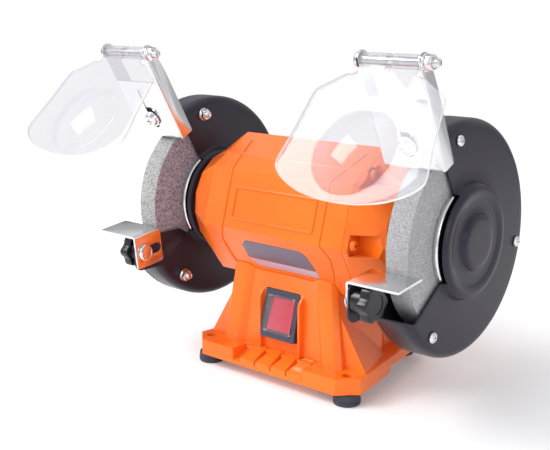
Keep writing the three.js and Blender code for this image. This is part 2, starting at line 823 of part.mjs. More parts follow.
function toolRest(side) {
  const { out, restFront, restBolt } = SIDES[side];
  const { width, depth, drop, sheet, top } = REST;
  const tabFace = earFaces(side)[0] - out * GAP;
  const outline = (list) => polygon(list.map(([back, up]) => restPoint(side, back, up)));
  const rear = restFront + depth;
  const tab = outline([
    [restFront, top - drop + 2],
    [restFront + 2, top - drop],
    [rear - 2, top - drop],
    [rear, top - drop + 2],
    [rear, top],
    [restFront, top],
  ]);
  const table = outline([
    [restFront, top - sheet],
    [rear, top - sheet],
    [rear, top],
    [restFront, top],
  ]);
  const tilt = rad(REST.tilt);
  const along = [0, Math.cos(tilt), Math.sin(tilt)];
  const upwards = [0, -Math.sin(tilt), Math.cos(tilt)];
  const slot = extruded(slotShape(0, REST.travel, REST.slot), 8);
  const start = [tabFace - 4 - (out * sheet) / 2, ...restBolt];
  return cut(
    union(
      slabX(tab, tabFace, tabFace - out * sheet),
      slabX(table, tabFace - out * sheet, tabFace + out * (width - sheet)),
    ),
    solid(oriented(slot, along, upwards, [1, 0, 0], start)),
  );
}

// The clamp bolt runs from its domed head on the tab through the ear and into the knob.
function restBolt(side) {
  const { out, restBolt: at, hub } = SIDES[side];
  const start = earFaces(side)[0] - out * (2 * GAP + REST.sheet);
  const end = earFaces(side)[1] + out * (GAP + hub + KNOB.grip);
  const head = [
    [start, 0],
    [start, 6],
    [start - out * 1.2, 5],
    [start - out * 2.1, 0],
  ];
  return union(turned(head, 12, ...at), rod(start, end, M6, FACETS.bolt, ...at));
}

function restKnob(side) {
  const { out, restBolt: at, hub } = SIDES[side];
  const { hubRadius, star, lobe, lobes, thick, grip } = KNOB;
  const start = earFaces(side)[1] + out * GAP;
  const step = (2 * Math.PI) / (4 * lobes);
  const outline = sweep(4 * lobes, (i) => {
    const r = star + lobe * Math.cos(lobes * i * step);
    return [at[0] + r * Math.cos(i * step), at[1] + r * Math.sin(i * step)];
  });
  const disc = slabX(polygon(outline), start + out * hub, start + out * (hub + thick));
  const neck = rod(start, start + out * (hub + 1), hubRadius, FACETS.shaft, ...at);
  const bore = rod(start - out, start + out * (hub + grip + 1), M6 + GAP, FACETS.bolt, ...at);
  return cut(union(disc, neck), bore);
}

// ---- base ----
// Plan of the flange, wider at the front than at the rear.
function flangeOutline(inset) {
  const { front, rear, chamfer, frontHalf, rearHalf } = BASE;
  return polygon(
    mirrored([
      [frontHalf - chamfer - inset, front + inset],
      [frontHalf - inset, front + chamfer + inset],
      [rearHalf - inset, rear - chamfer - inset],
      [rearHalf - chamfer - inset, rear - inset],
    ]),
  );
}

// One level of the pedestal: corner pillars with a recessed panel between them, front and back.
// Behind the shaft its sides draw in.
function pedestalRing({ z, x, front, rearX, rear, inner, recess }, inset) {
  const step = 5;
  const rearInner = inner - (x - rearX);
  const half = [
    [inner - step, -front + recess],
    [inner, -front],
    [x - 3, -front],
    [x, -front + 3],
    [x, 4],
    [rearX, 18],
    [rearX, rear - 3],
    [rearX - 3, rear],
    [rearInner, rear],
    [rearInner - step, rear - recess],
  ];
  return mirrored(half.map(([a, b]) => [a - inset, b - Math.sign(b) * inset])).map(([a, b]) => [a, b, z]);
}

const pedestalBody = (inset) =>
  loft([pedestalRing(PEDESTAL.bottom, inset), pedestalRing(PEDESTAL.top, inset)]);

// y of the recessed panel's surface at height z, on the front or the rear.
function panelY(z, which) {
  const { bottom, top } = PEDESTAL;
  const t = (z - bottom.z) / (top.z - bottom.z);
  const depth = (level) => level[which] - level.recess;
  const y = depth(bottom) + t * (depth(top) - depth(bottom));
  return which === "front" ? -y : y;
}

// Puts a geometry whose own axes are x across, y up and z outwards onto the leaning switch seat.
function onSwitchSeat(geometry) {
  const z = (SWITCH.low + SWITCH.high) / 2;
  const lean = rad(SWITCH.lean);
  const up = [0, Math.sin(lean), Math.cos(lean)];
  const outwards = [0, -Math.cos(lean), Math.sin(lean)];
  return solid(oriented(geometry, [1, 0, 0], up, outwards, [0, panelY(z, "front") + SWITCH.sunk, z]));
}

const switchBlock = (halfX, halfUp, from, to, r) =>
  onSwitchSeat(extruded(roundedRect(halfX, -halfUp, halfUp, r), to - from, 2).translate(0, 0, from));

// Wedges that spread from the pedestal's sides to the flange.
function buttresses() {
  const [inner, low] = [42, BASE.flange - 1];
  const ring = (sign, { y, x, z }) => {
    const points = [
      [sign * x, y, low],
      [sign * inner, y, z],
      [sign * inner, y, low],
    ];
    return sign > 0 ? points : points.reverse();
  };
  return BUTTRESSES.flatMap(([rear, front]) =>
    [-1, 1].map((sign) => loft([ring(sign, rear), ring(sign, front)])),
  );
}

// Thin cheeks that stand either side of the switch.
function fins() {
  const { x, thick, front, low, high } = FIN;
  const shape = new THREE.Shape();
  shape.moveTo(-30, low);
  shape.lineTo(front, low);
  shape.lineTo(front, high - 9.5);
  shape.quadraticCurveTo(front + 0.6, high - 4.5, -33, high);
  shape.lineTo(-30, high);
  return [-1, 1].map((s) => slabX(shape, s * x - thick / 2, s * x + thick / 2));
}

// The notch in the front skirt that the louvres stand in.
function louvreNotch() {
  const { from, to } = LOUVRE;
  const shape = polygon([
    [BASE.front - 3, 9.5],
    [-43, 15.5],
    [-43, 22],
    [BASE.front - 3, 22],
  ]);
  return slabX(shape, from, to);
}

// One louvre: a block that slopes down and widens towards the front edge of the skirt.
function louvre(x) {
  const { back, front, high, low } = LOUVRE;
  const ring = (y, half, top) => [
    [x + half, y, BASE.foot],
    [x + half, y, top],
    [x - half, y, top],
    [x - half, y, BASE.foot],
  ];
  return loft([ring(-40, back, high), ring(BASE.front, front, low)]);
}

function baseHousing() {
  const { foot, flange, wall, front, archFrom, archTo, archTop } = BASE;
  const feet = Object.values(FEET);
  const block = boxAt(LOUVRE.from - wall, LOUVRE.to + wall, front, -40, foot - 2, flange);
  const bosses = feet.map(([x, y]) =>
    boxAt(x - FOOT.pad, x + FOOT.pad, y - FOOT.pad, y + FOOT.pad, foot - 2, flange),
  );
  const cavity = cut(slabZ(flangeOutline(wall), foot - 1, flange - wall), ...bosses, block);
  const room = cut(pedestalBody(wall), boxAt(-80, 80, -60, 60, 74, 100));
  const barrelSeat = barrelBody(BARREL.half + 5, BARREL.apothem + GAP);
  const arches = [-1, 1].map((s) => boxAt(s * 50, s * 80, archFrom, archTo, foot - 1, archTop));
  const footHoles = feet.map(([x, y]) => rodZ(x, y, FOOT.stem + GAP, 0, 40));
  const glandHole = rodY(GLAND.x, GLAND.z, GLAND.thread + GAP, 25, 55);
  const skirt = cut(slabZ(flangeOutline(0), foot, flange), louvreNotch());
  const pad = switchBlock(SWITCH.x + 1, SWITCH.y + 0.6, -4, 0, 1.2);
  const whole = union(skirt, pedestalBody(0), ...buttresses(), ...fins(), ...LOUVRE.x.map(louvre), pad);
  return cut(
    whole,
    cavity,
    room,
    barrelSeat,
    ...footHoles,
    ...arches,
    switchBlock(SWITCH.x + GAP, SWITCH.y + GAP, 0, SWITCH.rim + 3, 1.2),
    switchBlock(SWITCH.x - 2.2, SWITCH.y - 3.4, -12, 6, 0.8),
    glandHole,
  );
}

// Upright and front-to-back cylinders.
const rodZ = (x, y, radius, z0, z1) =>
  solid(
    new THREE.CylinderGeometry(radius, radius, z1 - z0, FACETS.bolt)
      .rotateX(Math.PI / 2)
      .translate(x, y, (z0 + z1) / 2),
  );

const rodY = (x, z, radius, y0, y1) =>
  solid(new THREE.CylinderGeometry(radius, radius, y1 - y0, FACETS.core).translate(x, (y0 + y1) / 2, z));

// Sheet cover that closes the base from below, cut clear of the foot bosses.
function basePlate() {
  const half = [
    [35, -38.4],
    [60, -26],
    [50.5, 46.5],
  ];
  return slabZ(polygon(mirrored(half)), BASE.plate, BASE.plate + 1.2);
}

function foot([x, y]) {
  const z = BASE.foot - GAP;
  const profile = [
    [0, 0],
    [FOOT.radius - 0.8, 0],
    [FOOT.radius, 0.8],
    [FOOT.radius - 0.5, z],
    [FOOT.stem, z],
    [FOOT.stem, BASE.flange - 2.5],
    [0, BASE.flange - 2.5],
  ];
  const points = profile.map(([r, h]) => new THREE.Vector2(r, h));
  return solid(new THREE.LatheGeometry(points, FACETS.core).rotateX(Math.PI / 2).translate(x, y, 0));
}

function capacitor() {
  const { half, radius, y, z } = CAPACITOR;
  const pins = [y - 4, y + 4].map((at) => rod(half - 1, half + 4, 2.2, 6, at, z));
  return union(rod(-half, half, radius, FACETS.core, y, z), ...pins);
}

function switchBody() {
  const { x, y, rim } = SWITCH;
  const block = union(switchBlock(x, y, GAP, rim, 1.2), switchBlock(x - 2.6, y - 3.8, -16, 1, 0.6));
  return cut(block, switchBlock(x - 3.2, y - 3.6, 1.6, 8, 0.8), switchBlock(x - 4, y - 5.2, -10, 6, 0.5));
}

// Rocker seen from its end: a shallow V top on a back that turns about its pin.
function switchRocker() {
  const { depth, half, width, lift } = ROCKER;
  const shape = polygon([
    [-half, 2.2],
    [1.2 - half, -1.6],
    [0, 4.4 - depth],
    [half - 1.2, -3],
    [half, -0.4],
    [0, 0.4],
  ]);
  const made = oriented(extruded(shape, 2 * width), [0, 1, 0], [0, 0, 1], [1, 0, 0], [-width, 0, 0]);
  return onSwitchSeat(made.translate(0, 0, lift));
}

function switchCap() {
  const outer = switchBlock(SWITCH.x - 3.5, SWITCH.y - 3.9, 2.2 + GAP, 6.8, 1.2);
  return cut(outer, switchBlock(SWITCH.x - 4.2, SWITCH.y - 4.6, 1, 6.1, 0.8));
}

// Cord gland with its flange on the rear wall and a bore left open for the missing cord.
function cordGland() {
  const { x, z, bore, thread } = GLAND;
  const profile = [
    [0, -9],
    [thread, -9],
    [thread, 1.4],
    [8.6, 1.4],
    [8.6, 4],
    [6.2, 5.4],
    [5, 14],
    [bore, 14],
    [bore, 0],
    [0, 0],
  ];
  const points = profile.map(([r, h]) => new THREE.Vector2(r, h));
  return solid(new THREE.LatheGeometry(points, FACETS.core).translate(x, panelY(z, "rear"), z));
}

// ---- assembly ----
add("base_housing", "orange", baseHousing());
add("base_plate", "steel", basePlate());
Object.entries(FEET).forEach(([corner, at]) => add(`foot_${corner}`, "rubber", foot(at)));
add("run_capacitor", "black", capacitor());
add("switch_body", "black", switchBody());
add("switch_rocker", "red", switchRocker());
add("switch_dust_cap", "clear", switchCap());
add("cord_gland", "black", cordGland());
add("motor_shell", "orange", motorShell());
TIE_BOLTS.forEach((at, i) => add(`tie_bolt_${i + 1}`, "orange", tieBolt(at)));
add("stator_core", "steel", stator());
add("rotor_core", "steel", rotorCore());
add("shaft", "steel", shaft());

for (const [side, { out }] of Object.entries(SIDES)) {
  const [innerFace, outerFace] = wheelFaces(out);
  add(`end_bell_${side}`, "orange", endBell(side));
  add(`stator_winding_${side}`, "copper", winding(out));
  add(`bearing_${side}`, "steel", bearing(out));
  add(`guard_cup_${side}`, "guard", guardCup(side));
  add(`guard_plate_${side}`, "guard", guardPlate(side));
  GUARD_SCREWS.angles.forEach((angle, i) =>
    add(`guard_screw_${side}_${i + 1}`, "zinc", guardScrew(side, angle)),
  );
  add(`inner_flange_${side}`, "zinc", clampFlange(innerFace, -out));
  add(`grinding_wheel_${side}`, out < 0 ? "dark_grit" : "light_grit", grindingWheel(out));
  add(`outer_flange_${side}`, "zinc", clampFlange(outerFace, out));
  add(`arbor_nut_${side}`, "zinc", arborNut(out));
  add(`shield_bracket_${side}`, "zinc", shieldBracket(side));
  add(`bracket_bolt_${side}`, "zinc", bracketBolt(side));
  add(`hinge_bolt_${side}`, "zinc", hingeBolt(side));
  add(`hinge_nut_${side}`, "zinc", hingeNut(side));
  add(`eye_shield_${side}`, "clear", eyeShield(side));
  add(`tool_rest_${side}`, "zinc", toolRest(side));
  add(`rest_bolt_${side}`, "zinc", restBolt(side));
  add(`rest_knob_${side}`, "black", restKnob(side));
}

const middle = new THREE.Box3().setFromObject(machine).getCenter(new THREE.Vector3());
machine.position.set(-middle.x, -middle.y, 0);

export default machine;
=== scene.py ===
"""Looks of a double-ended bench grinder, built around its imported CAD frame.

Shapes are drawn in millimetres in the machine's working frame (x = 0 midway between the wheels,
y = 0 on the shaft, z = 0 on the floor) and moved onto the CAD frame, in metres, when they are placed.
"""

import json
import math

import bmesh
import bpy
from mathutils import Matrix, Vector


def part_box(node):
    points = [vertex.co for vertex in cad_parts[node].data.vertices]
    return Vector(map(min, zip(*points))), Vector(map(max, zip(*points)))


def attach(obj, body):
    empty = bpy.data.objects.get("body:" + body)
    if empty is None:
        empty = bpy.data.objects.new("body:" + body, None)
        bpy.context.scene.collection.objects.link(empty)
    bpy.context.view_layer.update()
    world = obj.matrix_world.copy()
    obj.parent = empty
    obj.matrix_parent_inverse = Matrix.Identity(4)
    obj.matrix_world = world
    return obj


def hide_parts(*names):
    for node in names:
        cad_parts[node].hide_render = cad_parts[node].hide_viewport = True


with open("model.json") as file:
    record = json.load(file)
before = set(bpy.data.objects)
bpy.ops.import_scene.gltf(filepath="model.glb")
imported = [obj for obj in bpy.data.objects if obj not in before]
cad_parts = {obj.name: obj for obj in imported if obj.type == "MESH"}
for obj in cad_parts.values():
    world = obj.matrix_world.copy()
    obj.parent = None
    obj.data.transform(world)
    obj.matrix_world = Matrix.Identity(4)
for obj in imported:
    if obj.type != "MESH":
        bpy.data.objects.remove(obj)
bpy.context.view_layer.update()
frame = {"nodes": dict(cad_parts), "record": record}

MM = 0.001
SHAFT_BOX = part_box("shaft")
SHAFT_HEIGHT = 110.3
ORIGIN = Vector((
    (SHAFT_BOX[0].x + SHAFT_BOX[1].x) / 2,
    (SHAFT_BOX[0].y + SHAFT_BOX[1].y) / 2,
    (SHAFT_BOX[0].z + SHAFT_BOX[1].z) / 2 - SHAFT_HEIGHT * MM,
))
TO_FRAME = Matrix.Translation(ORIGIN) @ Matrix.Scale(MM, 4)

# ---- driving dimensions, millimetres ----
GAP = 0.35
WHEEL = {"radius": 62.5, "width": 16, "bore": 6.4, "centre": 108.35}
GUARD = {
    "radius": 76.35, "wall": 1.2, "depth": 27.2, "band": 21, "edge": 6,
    "top": 60, "bottom": -35.5, "boss": 38.5, "boss_height": 7, "lip": 36.8,
}
MOUTH = {"bend": 70.5, "reach": 120, "drop": 18}
SCREWS = {
    "angles": (77, -55, -169), "circle": 66, "shank": 2.2, "head": 3.7, "height": 2.2,
    "washer": 4.6, "washer_end": 1.3, "nut": 4.1, "nut_end": 4.6, "tail": 7.4,
}
TIE_BOLTS = ((-46.2, 106.7), (45.2, 107.6), (-26, 149), (26, 149))
TIE_SEAT = 64
TIE_BOLT = {"head": 3.6, "height": 3.4, "shank": 2}
FLANGE = {"thick": 3.4, "radius": 36.6, "recess": 24, "lip": 2.9, "bore": 6.35}
NUT = {"thick": 5, "radius": 10.9}
FEET = {
    "front_left": (-61.5, -45.6), "front_right": (61.5, -45.6),
    "rear_left": (-35.5, 57), "rear_right": (35.5, 57),
}
FOOT = {"radius": 9.1, "stem": 3.1, "height": 7.65, "stem_top": 16.5}
BRACKET = {
    "width": 43, "sheet": 1.2, "depth": 11.4, "web": 47.5, "low": (-43.4, 159.5),
    "hinge_up": 69, "hinge_back": 4.6, "bolt": 16.5, "slot": (11.5, 38),
}
TAB = {"half": 6.4, "low": 6.6, "high": 24}
RIDGE = {"length": 12, "along": 0.9, "angle": 0.5}  # least length, share along X, and bend in radians
CAD_EDGE_ANGLE = 24  # degrees from which an edge of a CAD shape is bevelled
FLAT_ANGLE = 0.6  # degrees below which neighbouring faces count as one
BRACKET_BOLT = {"seat": 1.5, "washer": 6.2, "head": 5.2, "height": 2.9, "nut": 5, "nut_thick": 4.2, "tail": 6}
HINGE = {
    "shank": 2.5, "head": 4.8, "dome": 3.2, "tail": 9.6,
    "washer": 5.2, "washer_end": 1.1, "nut": 4.6, "nut_start": 1.2, "nut_end": 5.6,
}
SHIELD = {"sheet": 1.8, "lens": 26.5, "lens_at": 58.5, "knuckle": 4.3, "dome": 7, "neck": 19.6}
REST = {
    "width": 37, "depth": 24.2, "drop": 24.5, "sheet": 1.5,
    "tilt": 7, "top": 13.4, "slot": 3.5, "travel": 12,
}
REST_BOLT = {"head": 6, "rim": 0.6, "dome": 1.5}
KNOB = {"hub": 7.8, "star": 10.7, "lobe": 1, "lobes": 6, "thick": 7, "grip": 4}
M6 = 2.9
SIDES = {
    "left": {
        "out": -1, "face": -98, "lean": 30, "shield_tilt": 43,
        "rest_bolt": (-77, 81.5), "rest_front": -8, "hub": 3.5,
    },
    "right": {
        "out": 1, "face": 119.2, "lean": 25, "shield_tilt": 35,
        "rest_bolt": (-81, 85), "rest_front": -5.5, "hub": 7.5,
    },
}
CAMERA = {"azimuth": 40.81, "elevation": 12.86, "lens": 64.61, "at": (420.7, -533.5, 257.3)}
ROUND = 96  # segments of a large round surface
SMALL = 40  # segments of a small one


# ---- materials ----
def principled(name, colour, roughness, metallic=0.0, **sockets):
    material = bpy.data.materials.new(name)
    material.use_nodes = True
    shader = material.node_tree.nodes["Principled BSDF"]
    shader.inputs["Base Color"].default_value = (*colour, 1)
    shader.inputs["Roughness"].default_value = roughness
    shader.inputs["Metallic"].default_value = metallic
    for socket, value in sockets.items():
        shader.inputs[socket.replace("_", " ")].default_value = value
    return material


def node(material, kind, **settings):
    made = material.node_tree.nodes.new(kind)
    for key, value in settings.items():
        if key in made.inputs:
            made.inputs[key].default_value = value
        else:
            setattr(made, key, value)
    return made


def wire(material, source, target):
    material.node_tree.links.new(source, target)


def shader_of(material):
    return material.node_tree.nodes["Principled BSDF"]


def noise_on(material, scale, detail=4, stretch=(1, 1, 1)):
    """Noise in the piece's own coordinates, optionally stretched for a grain."""
    place = node(material, "ShaderNodeTexCoord")
    mapping = node(material, "ShaderNodeMapping")
    mapping.inputs["Scale"].default_value = stretch
    noise = node(material, "ShaderNodeTexNoise", Scale=scale, Detail=detail)
    wire(material, place.outputs["Object"], mapping.inputs["Vector"])
    wire(material, mapping.outputs["Vector"], noise.inputs["Vector"])
    return noise


def ramp(material, source, stops):
    """A colour ramp through (position, colour) stops."""
    made = node(material, "ShaderNodeValToRGB")
    elements = made.color_ramp.elements
    while len(elements) < len(stops):
        elements.new(0.5)
    for element, (position, colour) in zip(elements, stops):
        element.position = position
        element.color = (*colour, 1)
    wire(material, source, made.inputs["Fac"])
    return made


def bumped(material, source, strength, distance):
    bump = node(material, "ShaderNodeBump", Strength=strength, Distance=distance)
    wire(material, source, bump.inputs["Height"])
    wire(material, bump.outputs["Normal"], shader_of(material).inputs["Normal"])


def varied_roughness(material, source, low, high):
    spread = node(material, "ShaderNodeMapRange")
    spread.inputs["To Min"].default_value = low
    spread.inputs["To Max"].default_value = high
    wire(material, source, spread.inputs["Value"])
    wire(material, spread.outputs["Result"], shader_of(material).inputs["Roughness"])


def painted(name, colour, dark, roughness, grain, level, tint, coat):
    """Powder coat: fine orange-peel bump, slow colour drift and slightly uneven gloss."""
    material = principled(
        name, colour, roughness, Specular_IOR_Level=level, Specular_Tint=(*tint, 1),
        Coat_Weight=coat, Coat_Roughness=0.25,
    )
    drift = noise_on(material, 22, 2)
    tone = ramp(material, drift.outputs["Fac"], [(0.3, dark), (0.7, colour)])
    wire(material, tone.outputs["Color"], shader_of(material).inputs["Base Color"])
    peel = noise_on(material, grain, 3)
    varied_roughness(material, peel.outputs["Fac"], roughness - 0.06, roughness + 0.06)
    bumped(material, peel.outputs["Fac"], 0.1, 0.0001)
    return material


def brushed(name, colour, roughness, stretch, strength=0.05):
    """Rolled or turned metal with a faint directional grain."""
    material = principled(name, colour, roughness, 1.0)
    grain = noise_on(material, 60, 5, stretch)
    varied_roughness(material, grain.outputs["Fac"], roughness * 0.7, roughness * 1.35)
    bumped(material, grain.outputs["Fac"], strength, 0.00005)
    return material


def grit(name, light, dark, scale, spread):
    """Bonded abrasive: grains of several tones standing out of a rough face."""
    material = principled(name, light, 0.9, Specular_IOR_Level=0.25)
    place = node(material, "ShaderNodeTexCoord")
    cells = node(material, "ShaderNodeTexVoronoi", Scale=scale)
    wire(material, place.outputs["Object"], cells.inputs["Vector"])
    tone = ramp(material, cells.outputs["Color"], [(0.5 - spread, dark), (0.5 + spread, light)])
    wire(material, tone.outputs["Color"], shader_of(material).inputs["Base Color"])
    bumped(material, cells.outputs["Distance"], 0.5, 0.0003)
    return material


def moulded(name, colour, roughness, grain, strength=0.1):
    material = principled(name, colour, roughness)
    texture = noise_on(material, grain, 3)
    varied_roughness(material, texture.outputs["Fac"], roughness - 0.05, roughness + 0.08)
    bumped(material, texture.outputs["Fac"], strength, 0.0001)
    return material


def clear(name, colour, roughness, facing, edge):
    """Thin clear plastic: it lets light through face on and turns milky towards its edges."""
    material = principled(name, colour, roughness, Specular_IOR_Level=1.0)
    layer = node(material, "ShaderNodeLayerWeight", Blend=0.35)
    veil = node(material, "ShaderNodeMapRange")
    veil.inputs["To Min"].default_value = facing
    veil.inputs["To Max"].default_value = edge
    wire(material, layer.outputs["Facing"], veil.inputs["Value"])
    wire(material, veil.outputs["Result"], shader_of(material).inputs["Alpha"])
    flow = noise_on(material, 30, 1)
    bumped(material, flow.outputs["Fac"], 0.02, 0.0002)
    return material


ORANGE_TINT = (1.0, 0.6, 0.4)
LOOKS = {
    "orange_paint": painted(
        "orange_paint", (0.95, 0.175, 0.013), (0.9, 0.148, 0.01), 0.32, 900, 0.5, ORANGE_TINT, 0.3
    ),
    "guard_paint": painted(
        "guard_paint", (0.02, 0.017, 0.027), (0.017, 0.015, 0.023), 0.33, 1100, 0.4, (0.9, 0.87, 1.0), 0
    ),
    "plain_steel": brushed("plain_steel", (0.5, 0.5, 0.52), 0.35, (1, 1, 1)),
    "winding": brushed("winding", (0.72, 0.33, 0.13), 0.35, (30, 1, 1), 0.3),
    "foot_rubber": moulded("foot_rubber", (0.035, 0.04, 0.058), 0.65, 1400, 0.25),
    "black_plastic": moulded("black_plastic", (0.05, 0.05, 0.078), 0.38, 1600),
    "knob_plastic": moulded("knob_plastic", (0.008, 0.008, 0.011), 0.25, 300, 0.03),
    "red_plastic": moulded("red_plastic", (0.56, 0.01, 0.04), 0.22, 200, 0.03),
    "clear_cap": clear("clear_cap", (0.6, 0.58, 0.64), 0.05, 0.02, 0.3),
    "dark_abrasive": grit("dark_abrasive", (0.5, 0.45, 0.51), (0.09, 0.075, 0.1), 1500, 0.4),
    "light_abrasive": grit("light_abrasive", (0.52, 0.52, 0.53), (0.28, 0.28, 0.29), 1900, 0.35),
    "zinc_plate": brushed("zinc_plate", (0.78, 0.78, 0.8), 0.2, (1, 1, 1)),
    "bright_sheet": brushed("bright_sheet", (0.78, 0.79, 0.805), 0.18, (1, 30, 30), 0.03),
    "clear_shield": clear("clear_shield", (0.5, 0.49, 0.54), 0.05, 0.17, 0.6),
}
LABEL = moulded("label_foil", (0.15, 0.12, 0.17), 0.3, 1200, 0.04)
LABEL_STRIP = moulded("label_strip_foil", (0.5, 0.36, 0.44), 0.3, 1200, 0.04)
# Near-white, almost opaque cut edge of the shield: a painted highlight for the light caught in the clear
# sheet.
SHIELD_EDGE_HIGHLIGHT = clear("shield_edge_painted_highlight", (0.95, 0.95, 0.97), 0.2, 0.8, 0.95)
# Whitish edge of the clear dust cap: a painted highlight for its bright outline.
CAP_EDGE_HIGHLIGHT = clear("cap_edge_painted_highlight", (0.9, 0.88, 0.94), 0.2, 0.55, 0.8)
CAP_HIGHLIGHT_AREA = 1.1e-5  # square metres below which a face of the dust cap is part of its edges and gets the painted highlight
WHEEL_RIM = grit("wheel_rim_grit", (0.56, 0.56, 0.55), (0.22, 0.22, 0.22), 1500, 0.35)
SLOT_OF = {s["node"]: s["material_slot"] for s in frame["record"]["subparts"]}
BODY_OF = {n: body for body, nodes in frame["record"]["behaviour"]["bodies"].items() for n in nodes}


# ---- shapes ----
def mesh_object(points, faces, name="shape"):
    mesh = bpy.data.meshes.new(name)
    mesh.from_pydata([tuple(p) for p in points], [], faces)
    made = bmesh.new()
    made.from_mesh(mesh)
    bmesh.ops.remove_doubles(made, verts=made.verts, dist=1e-4)
    bmesh.ops.recalc_face_normals(made, faces=made.faces)
    made.to_mesh(mesh)
    made.free()
    obj = bpy.data.objects.new(name, mesh)
    bpy.context.scene.collection.objects.link(obj)
    return obj


def lathe(profile, segments=SMALL, y=0.0, z=SHAFT_HEIGHT):
    """A closed [x, radius] profile turned about a line along X."""
    n = len(profile)
    points = []
    for k in range(segments):
        angle = 2 * math.pi * k / segments
        points += [(x, y - r * math.cos(angle), z + r * math.sin(angle)) for x, r in profile]
    faces = []
    for k in range(segments):
        a, b = k * n, (k + 1) % segments * n
        for i in range(n):
            j = (i + 1) % n
            faces.append(distinct([a + i, a + j, b + j, b + i], points))
    return mesh_object(points, [f for f in faces if len(f) > 2])


def distinct(face, points):
    """A face without corners that fall on the same point."""
    kept = []
    for index in face:
        same = any((Vector(points[index]) - Vector(points[k])).length < 1e-5 for k in kept)
        if not same:
            kept.append(index)
    return kept


def rod(x0, x1, radius, y, z, segments=SMALL):
    return lathe([(x0, 0), (x0, radius), (x1, radius), (x1, 0)], segments, y, z)


def prism(outline, low, high, axes=((0, 1, 0), (0, 0, 1), (1, 0, 0)), at=(0, 0, 0)):
    """A flat outline given thickness. axes are the directions of its u, its v and its thickness."""
    u, v, w = (Vector(a) for a in axes)
    n = len(outline)
    points = [Vector(at) + u * a + v * b + w * level for level in (low, high) for a, b in outline]
    sides = [(i, (i + 1) % n, n + (i + 1) % n, n + i) for i in range(n)]
    return mesh_object(points, [tuple(range(n)), tuple(range(n, 2 * n))] + sides)


def arc(centre, radius, start, stop, steps):
    """Points on a circle between two angles in degrees."""
    angles = [math.radians(start + (stop - start) * i / steps) for i in range(steps + 1)]
    return [(centre[0] + radius * math.cos(a), centre[1] + radius * math.sin(a)) for a in angles]


def rounded(outline, radius, steps=5):
    """An outline with each of its corners rounded."""
    made = []
    n = len(outline)
    for i in range(n):
        before, corner, after = (Vector(outline[(i + k) % n]) for k in (-1, 0, 1))
        a, b = (before - corner), (after - corner)
        reach = min(radius, a.length * 0.45, b.length * 0.45)
        start, end = corner + a.normalized() * reach, corner + b.normalized() * reach
        for k in range(steps + 1):
            t = k / steps
            made.append(tuple(start * (1 - t) ** 2 + corner * 2 * t * (1 - t) + end * t * t))
    return made


def stadium(x0, x1, half, steps=10):
    return arc((x1, 0), half, -90, 90, steps) + arc((x0, 0), half, 90, 270, steps)


def freeze(obj):
    """Applies the object's modifiers to its mesh."""
    graph = bpy.context.evaluated_depsgraph_get()
    mesh = bpy.data.meshes.new_from_object(obj.evaluated_get(graph))
    obj.modifiers.clear()
    obj.data = mesh
    return obj


def boolean(body, operation, tools):
    for tool in tools:
        step = body.modifiers.new("boolean", "BOOLEAN")
        step.operation = operation
        step.solver = "MANIFOLD"
        step.object = tool
    freeze(body)
    for tool in tools:
        bpy.data.objects.remove(tool)
    return body


def cut(body, *tools):
    return boolean(body, "DIFFERENCE", tools)


def union(body, *others):
    return boolean(body, "UNION", others)


def common(body, *others):
    return boolean(body, "INTERSECT", others)


def bevelled(obj, width, segments=2, angle=32):
    """Rounds every edge sharper than the angle, in the object's own units."""
    step = obj.modifiers.new("bevel", "BEVEL")
    step.width = width
    step.segments = segments
    step.limit_method = "ANGLE"
    step.angle_limit = math.radians(angle)
    step.use_clamp_overlap = True
    return freeze(obj)


def joined(*parts):
    """Separate closed solids of one piece, kept in one object."""
    made = bmesh.new()
    for part in parts:
        made.from_mesh(part.data)
    made.to_mesh(parts[0].data)
    made.free()
    for part in parts[1:]:
        bpy.data.objects.remove(part)
    return parts[0]


def place(obj, name, smooth=35):
    """Moves a finished shape onto the frame in place of the CAD node of that name."""
    obj.data.transform(TO_FRAME)
    obj.name = "look_" + name
    obj.data.name = obj.name
    obj.data.shade_smooth()
    obj.data.set_sharp_from_angle(angle=math.radians(smooth))
    obj.data.materials.clear()
    obj.data.materials.append(LOOKS[SLOT_OF[name]])
    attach(obj, BODY_OF[name])
    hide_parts(name)
    return obj


def soften_ridges(obj, width):
    """Bevels the barrel's long edges more than the rest, as on a casting."""
    made = bmesh.new()
    made.from_mesh(obj.data)
    weight = made.edges.layers.float.new("bevel_weight_edge")
    for edge in made.edges:
        along = edge.verts[1].co - edge.verts[0].co
        is_long = along.length > RIDGE["length"] and abs(along.x) > RIDGE["along"] * along.length
        if is_long and edge.calc_face_angle(0) > RIDGE["angle"]:
            edge[weight] = 1
    made.to_mesh(obj.data)
    made.free()
    step = obj.modifiers.new("ridges", "BEVEL")
    step.width = width
    step.segments = 4
    step.limit_method = "WEIGHT"
    step.use_clamp_overlap = True
    return freeze(obj)


def from_cad(name, width, ridge=0, weld=1e-3):
    """A CAD node's shape with its flat faces made whole and a bevel asked for on its edges.

    ridge is a wider bevel for the long edges. Points closer than weld are merged first.
    """
    source = frame["nodes"][name]
    made = bmesh.new()
    made.from_mesh(source.data)
    made.transform(TO_FRAME.inverted())
    bmesh.ops.remove_doubles(made, verts=made.verts, dist=weld)
    bmesh.ops.dissolve_limit(
        made, angle_limit=math.radians(FLAT_ANGLE), verts=made.verts, edges=made.edges,
        use_dissolve_boundaries=False,
    )
    mesh = bpy.data.meshes.new(name)
    made.to_mesh(mesh)
    made.free()
    obj = bpy.data.objects.new(name, mesh)
    bpy.context.scene.collection.objects.link(obj)
    if ridge:
        soften_ridges(obj, ridge)
    bevelled(obj, width, 3, CAD_EDGE_ANGLE)
    return place(obj, name)


# ---- wheel guards ----
def on_circle(r, degrees):
    a = math.radians(degrees)
    return -r * math.cos(a), SHAFT_HEIGHT + r * math.sin(a)


